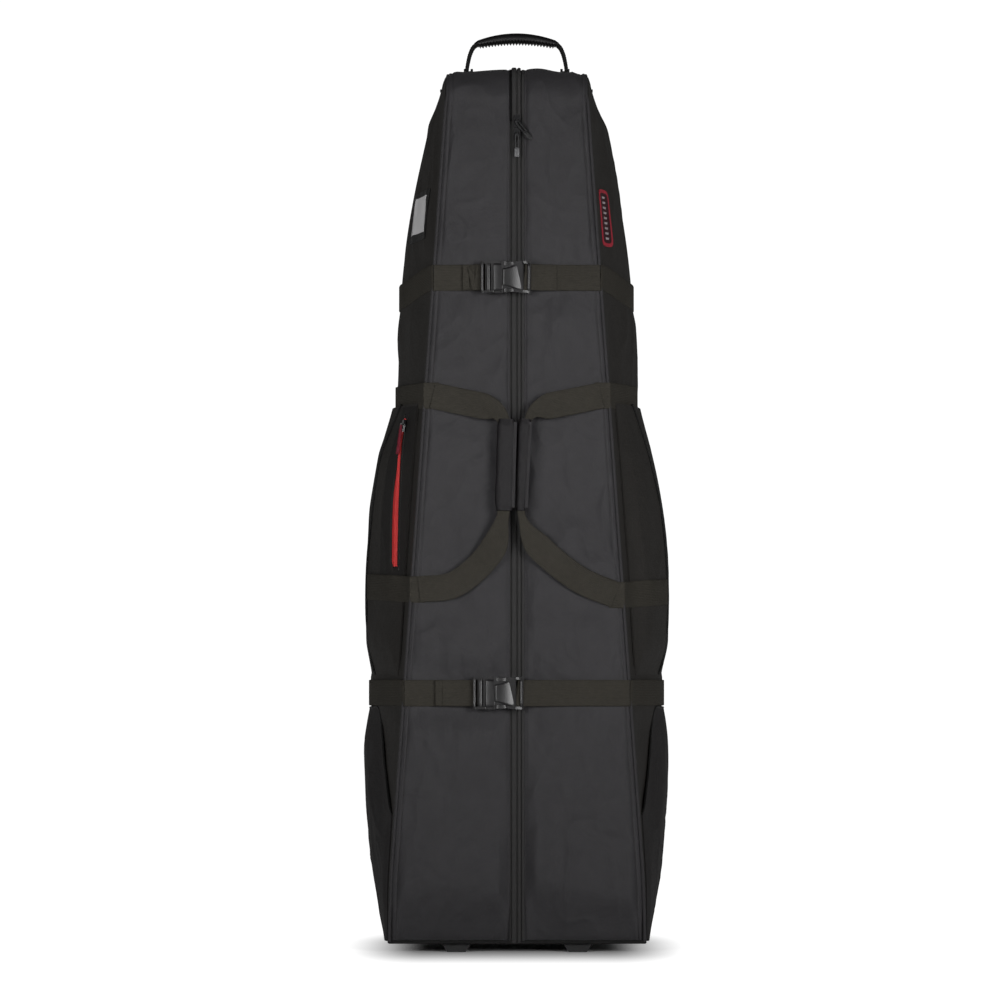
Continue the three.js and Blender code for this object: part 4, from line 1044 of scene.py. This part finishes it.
# each loop's sewn lower end, and how it hangs on the way there
LOOP_LOW = {"left": (520, 572, 8), "right": (512, 582, 24)}
for hand, side in SIDES:
    grip_half = 13.5 if side < 0 else 10.0
    grip_x = side * (15.5 if side < 0 else 11.5)
    lift = 23.0
    loop_low, hang, knee = LOOP_LOW[hand]
    lean = 3.0 if side < 0 else 6.0
    begin, end = side * (seam_x(LOOP_HIGH) - 11), side * (seam_x(loop_low) - 11)
    half_way = (grip_x - lean / 2, (GRIP_HIGH + GRIP_LOW) / 2, lift)
    path = front_path([
        (begin, LOOP_HIGH, 6.2), (lerp(begin, grip_x, 0.35), LOOP_HIGH - 8, 9.9),
        (lerp(begin, grip_x, 0.72), LOOP_HIGH - 17, lift - 5), (grip_x + side * 9, GRIP_HIGH + 9, lift),
        (grip_x, GRIP_HIGH - 18, lift), half_way, (grip_x - lean, GRIP_LOW + 20, lift),
        (grip_x + side * 3 - lean, GRIP_LOW - 12, lift), (grip_x + side * 22 - lean / 2, hang, lift - 4),
        (lerp(end, grip_x, 0.42), loop_low + knee, 11.9), (end, loop_low, 6.2),
    ], 170)

    def width(t, folded=2 * (grip_half - 4.5)):
        return lerp(WEBBING, folded, smooth(t, 0.17, 0.27) * fade(t, 0.58, 0.70))

    loop = web(f"carry_loop_{hand}_web", path, width=width)
    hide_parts(f"carry_loop_{hand}")
    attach(loop, f"loop_{hand}")

    # The padded wrap, closed along one edge by a stitched flange.
    stretch = front_path([(grip_x - lean, GRIP_LOW + 1, lift), half_way, (grip_x + 0.6, GRIP_HIGH + 2, lift)], 60)

    def padded_ring(t, half=grip_half):
        ends = 1 - 0.16 * fade(min(t, 1 - t), 0, 0.07)
        narrow = 1 if half > 12 else lerp(0.7, 1.0, t)
        ring = oval_section(half * ends * narrow, 8.6 * ends, 28, 2.8)
        z = GRIP_LOW + t * (GRIP_HIGH - GRIP_LOW)
        return [
            (a + 0.5 * wobble(a / 9, z / 22, 7), b + 0.7 * wobble(a / 7, z / 16, 3))
            for a, b in ring
        ]

    pad = loft("pad", stretch, padded_ring, lambda t: RIGHTWARDS, PAD)
    rim_x = (grip_half - 1.0) * (1 if side < 0 else 0.8)
    # The flange takes the lighter piping cloth; its pale line along the pad's rim is a painted highlight.
    flange = loft(
        "flange", [Vector((rim_x + p.x, p.y - 6.2, p.z)) for p in stretch[2:-2]],
        lambda t: flat_section(5.5, 2.4, 3), lambda t: RIGHTWARDS, PIPE,
    )
    seam = stitches("seam", [Vector((rim_x + p.x, p.y - 7.5, p.z)) for p in stretch[3:-3]], OUT_FRONT)
    grip = joined(f"carry_grip_{hand}_pad", [pad, flange, seam])
    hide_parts(f"carry_grip_{hand}")
    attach(grip, f"loop_{hand}")

    # The sewn ends go on over the seam to the gusset.
    for level, z, drop, reach, over in (("upper", LOOP_HIGH, 3, 0.8, 0.2), ("lower", loop_low, 6, 0.62, 0.0)):
        on_side = []
        for k in range(9):
            u = lerp(0.03, reach, k / 8)
            h = z + lerp(0, drop, k / 8)
            if POCKET_LOW < h < POCKET_HIGH and u > POCKET_FRONT:
                p = pocket_point(side, (u - POCKET_FRONT) / (POCKET_BACK - POCKET_FRONT), h, 1.5)[0]
            else:
                p = relief_point(side, u, h, SHELL / 2 + 2.0 + over)[0]
            on_side.append(p)
        onto_front = ((2.6, 1.6), (0.2, 3.8), (-6, 4.1), (-20, 4.0))  # (beyond the seam, off the front)
        across_seam = [(side * (seam_x(z) + beyond), front_y(z) - off, z) for beyond, off in onto_front]
        tail_path = smooth_path(on_side[::-1] + across_seam, 60)

        def away(t, path=tail_path, side=side):
            n = tangent_at(path, t)[1].cross(Vector(OUT_TOP))
            return n if n.dot(Vector((side, -0.8, 0))) > 0 else -n

        tail = web(f"carry_tail_{hand}_{level}", tail_path, away)
        x, y = side * seam_x(z) * MM, front_y(z) * MM
        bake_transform(tail)


# ---- top handle
HANDLE_Y, GRIP_HALF = 20.0, 61.0


def arch(x):
    return 1332.0 - 9.0 * (x / GRIP_HALF) ** 2


path = [Vector((x, HANDLE_Y, arch(x))) for x in np.linspace(-GRIP_HALF, GRIP_HALF, 265)]


def grip_ring(t):
    x = lerp(-GRIP_HALF, GRIP_HALF, t)
    ends = 1 - 0.25 * fade(min(t, 1 - t), 0, 0.05)
    rib = 2.8 * (0.5 + 0.5 * math.cos(x * 2 * math.pi / 4.6)) if abs(x) < 55 else 0.0
    top, under = lerp(8.6, 5.2, (x / GRIP_HALF) ** 2), lerp(6.0, 3.4, (x / GRIP_HALF) ** 2) + rib
    ring = []
    for a, b in oval_section(14.6, 1.0, 32, 2.6):
        ring.append((a * ends, b * ends * (top if b < 0 else under)))
    return ring


grip = loft("handle_grip_cover", path, grip_ring, lambda t: Vector((0, 1, 0)), RUBBER)
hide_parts("handle_grip")
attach(grip, "top_handle")

# Its strap: an eye round each pin, arms that lean in, and the run through the grip.
arm = [(-69.5, 1279.5), (-72.5, 1281), (-73.2, 1286), (-71.4, 1298), (-68.0, 1311), (-62.5, 1321), (-52, 1326.5)]
run = arm + [(x, arch(x) - 1) for x in (-30, 0, 30)] + [(-x, z) for x, z in arm[::-1]]
strap = loft(
    "handle_strap_web", smooth_path([(x, HANDLE_Y, z) for x, z in run], 200),
    lambda t: flat_section(lerp(10, 23, smooth(min(t, 1 - t), 0.05, 0.14)), 5.6 + 0.5 * math.cos(t * 400)),
    lambda t: Vector((0, 1, 0)), BIND,
)
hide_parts("handle_strap")
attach(strap, "top_handle")

# ---- card window and label
def side_patch(name, side, corners, low, high, mat, nu=18, nv=24, rounded=0.0):
    """A patch on the gusset; corners are its front and back u at the bottom and at the top, then its two heights."""
    front0, back0, front1, back1, z0, z1 = corners

    def at(u, v):
        trim = rounded * (1 - math.sqrt(max(1 - abs(2 * u - 1) ** 3, 0)))
        z = lerp(z0 + trim, z1 - trim, v)
        u = lerp(lerp(front0, front1, v), lerp(back0, back1, v), u)
        return relief_point(side, u, z, SHELL / 2 + gusset_relief(side, u, z))[0]

    piece = sheet(name, at, nu, nv, (side, 0, 0), low, high, mat)
    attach(piece, "case")
    return piece


holder = side_patch("id_holder_border", -1, (0.155, 0.68, 0.155, 0.63, 1031, 1104), 0.1, 1.5, BIND)
card = side_patch("id_window_card", -1, (0.215, 0.60, 0.215, 0.57, 1042, 1096), 1.2, 1.7, CARD)
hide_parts("id_holder")
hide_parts("id_window")
label = side_patch("label_border", 1, (0.09, 0.30, 0.085, 0.32, 1020, 1104), 0.1, 1.2, LABEL_RED, rounded=6)
side_patch("label_field", 1, (0.115, 0.275, 0.11, 0.295, 1025, 1099), 1.1, 1.5, LABEL_DARK, rounded=5)
for k in range(9):
    z = 1032 + k * 7.5
    side_patch(f"label_mark_{k}", 1, (0.165, 0.225, 0.17, 0.235, z - 1.5, z + 1.5), 1.4, 1.75, PALE, 6, 4)
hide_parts("label_patch")


# ---- zip pulls
def zip_pull(name, replaced, body, swing, up, length, cloth, tab_cloth):
    """A cord loop through the slider's bail, ending in a moulded tab; up(origin, across) leads back to the bail."""
    origin, x_dir = Vector(JOINTS[swing]["pos_m"]) / MM, Vector(JOINTS[swing]["axis"])
    x_dir = x_dir if x_dir.x > 0 else -x_dir
    z_dir = up(origin, x_dir).normalized()
    z_dir = z_dir if z_dir.z > 0 else -z_dir
    out = z_dir.cross(x_dir).normalized()
    out = out if out.y < 0 else -out

    def at(x, z, lift=0.0):
        return origin + x_dir * x + z_dir * z + out * lift

    half = [(1.6, 12 - length, 0), (2.1, -length * 0.55, 0.5), (2.2, -5, 0.9), (1.3, 0.6, 1.0)]
    points = [at(-x, z, lift) for x, z, lift in half] + [at(*corner) for corner in half[::-1]]
    loop = cord("loop", points, 1.5, cloth, 60, 8, out)

    def tab_section(t):
        end = abs(2 * t - 1)
        return oval_section(3.7 - 0.8 * end ** 6, 1.9 - 0.5 * end ** 4, 20, 4)

    tab = loft("tab", [at(0, 14 - length - 1.4 * k) for k in range(11)], tab_section, lambda t: x_dir, tab_cloth)
    piece = joined(name, [loop, tab])
    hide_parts(replaced)
    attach(piece, body)


def up_the_front(origin, across):
    return LEAN.cross(across)


def up_the_pocket_zip(origin, across):
    """The way in which the pocket slider's hinge carries this point."""
    travel = JOINTS["pocket_slider_travel"]
    return Vector(travel["axis"]).cross(origin - Vector(travel["pos_m"]) / MM)


for name, body, swing, up, length, cloth, tab_cloth in (
    ("main_pull_upper", "zip_pull_upper", "zip_pull_upper_swing", up_the_front, 33, MOULDED, MOULDED),
    ("main_pull_lower", "zip_pull_lower", "zip_pull_lower_swing", up_the_front, 33, MOULDED, GREY),
    ("pocket_pull", "pocket_zip_pull", "pocket_pull_swing", up_the_pocket_zip, 42, RED_CORD, RED_CORD),
):
    zip_pull(f"{name}_cord", name, body, swing, up, length, cloth, tab_cloth)

# ---- CAD pieces that keep their shape
finish_cad(ACETAL, 0.7, *[f"{level}_buckle_{part}" for level in ("upper", "lower") for part in ("plug", "socket")])
finish_cad(ENAMEL, 0.4, "main_slider_upper", "main_slider_lower", "pocket_slider")
finish_cad(MOULDED, 0.8, "base_plate")
finish_cad(WEB, 0.5, "inner_strap")
finish_cad(BOARD, 0.6, "back_board")
for hand, _ in SIDES:
    finish_cad(MOULDED, 0.8, f"handle_anchor_{hand}", f"foot_{hand}")
    finish_cad(MOULDED, 1.2, f"wheel_housing_{hand}")
    finish_cad(TYRE, 0.6, f"wheel_tyre_{hand}")
    finish_cad(HUB, 0.6, f"wheel_hub_{hand}")
    finish_cad(STEEL, 0.4, f"axle_{hand}")


# ---- floor, light and camera
def aimed(obj, place, target):
    obj.location = place
    obj.rotation_euler = (Vector(target) - Vector(place)).to_track_quat("-Z", "Y").to_euler()


def area_light(name, place, target, size, watts):
    data = bpy.data.lights.new(name, "AREA")
    data.shape = "RECTANGLE"
    data.size, data.size_y = size
    data.energy = watts
    data.spread = math.radians(42)
    aimed(shown(name, data), place, target)


floor_mesh = bpy.data.meshes.new("floor")
floor_mesh.from_pydata([(-30, -12, 0), (30, -12, 0), (30, 40, 0), (-30, 40, 0)], [], [(0, 1, 2, 3)])
floor = shown("floor", floor_mesh)
pale, tree, shader, _ = start("pale_floor")
shader.inputs["Base Color"].default_value = (0.9, 0.9, 0.9, 1)
shader.inputs["Roughness"].default_value = 0.9
shader.inputs["Specular IOR Level"].default_value = 0.1
shader.inputs["Emission Color"].default_value = (1, 1, 1, 1)
# The floor is white to look at and gives little light of its own; its glow fades softly under and before the base, a
# painted shadow laid over the real one cast there.
place = tree.nodes.new("ShaderNodeTexCoord").outputs["Object"]
for operation, second in (
    ("ABSOLUTE", (0, 0, 0)), ("SUBTRACT", (0.13, 0.10, 0)), ("MAXIMUM", (0, 0, 0)), ("MULTIPLY", (3.2, 1.0, 0)),
):
    place = node(tree, "VectorMath", {0: place, 1: second}, operation=operation).outputs[0]
away = node(tree, "VectorMath", {0: place}, operation="LENGTH").outputs["Value"]
# glow left out under and before the base: painted shadow
glow_past_painted_shadow = ranged(tree, away, 0.0, 1.0, end=0.45, interpolation_type="SMOOTHSTEP")
seen = ranged(tree, tree.nodes.new("ShaderNodeLightPath").outputs["Is Camera Ray"], 0.35, 1.0)
strength = node(tree, "Math", {0: glow_past_painted_shadow, 1: seen}, operation="MULTIPLY")
tree.links.new(strength.outputs[0], shader.inputs["Emission Strength"])
floor_mesh.materials.append(pale)

# White to look at; as light it is dim, more so above and in front, so that the lamps do the modelling.
world = bpy.data.worlds.new("studio")
world.use_nodes = True
sky = world.node_tree
towards = sky.nodes.new("ShaderNodeTexCoord").outputs["Generated"]
parts = node(sky, "SeparateXYZ", {0: towards})
above = ranged(sky, parts.outputs["Z"], 0.95, 0.10, -0.1, 0.4)
ahead = ranged(sky, parts.outputs["Y"], 0.10, 0.32, -0.95, -0.1)
ambient = node(sky, "Math", {0: above, 1: ahead}, operation="MULTIPLY").outputs[0]
shown_light = ranged(sky, sky.nodes.new("ShaderNodeLightPath").outputs["Is Camera Ray"], ambient, 1.05)
sky.links.new(shown_light, sky.nodes["Background"].inputs["Strength"])
sky.nodes["Background"].inputs["Color"].default_value = (1, 1, 1, 1)
bpy.context.scene.world = world
area_light("key", (-1.75, -3.2, 1.12), (0, 0, 0.80), (1.6, 1.4), 6.6)
area_light("fill", (1.85, -3.2, 1.02), (0, 0, 0.76), (1.5, 1.4), 8.8)

camera = shown("camera", bpy.data.cameras.new("camera"))
camera.data.lens, camera.data.sensor_width = 187.5, 36
aimed(camera, (-0.0245, -7.62, 0.40), (-0.0245, -0.12, 0.649))
camera.data.clip_end = 100
bpy.context.scene.camera = camera
bpy.context.scene.view_settings.view_transform = "Standard"
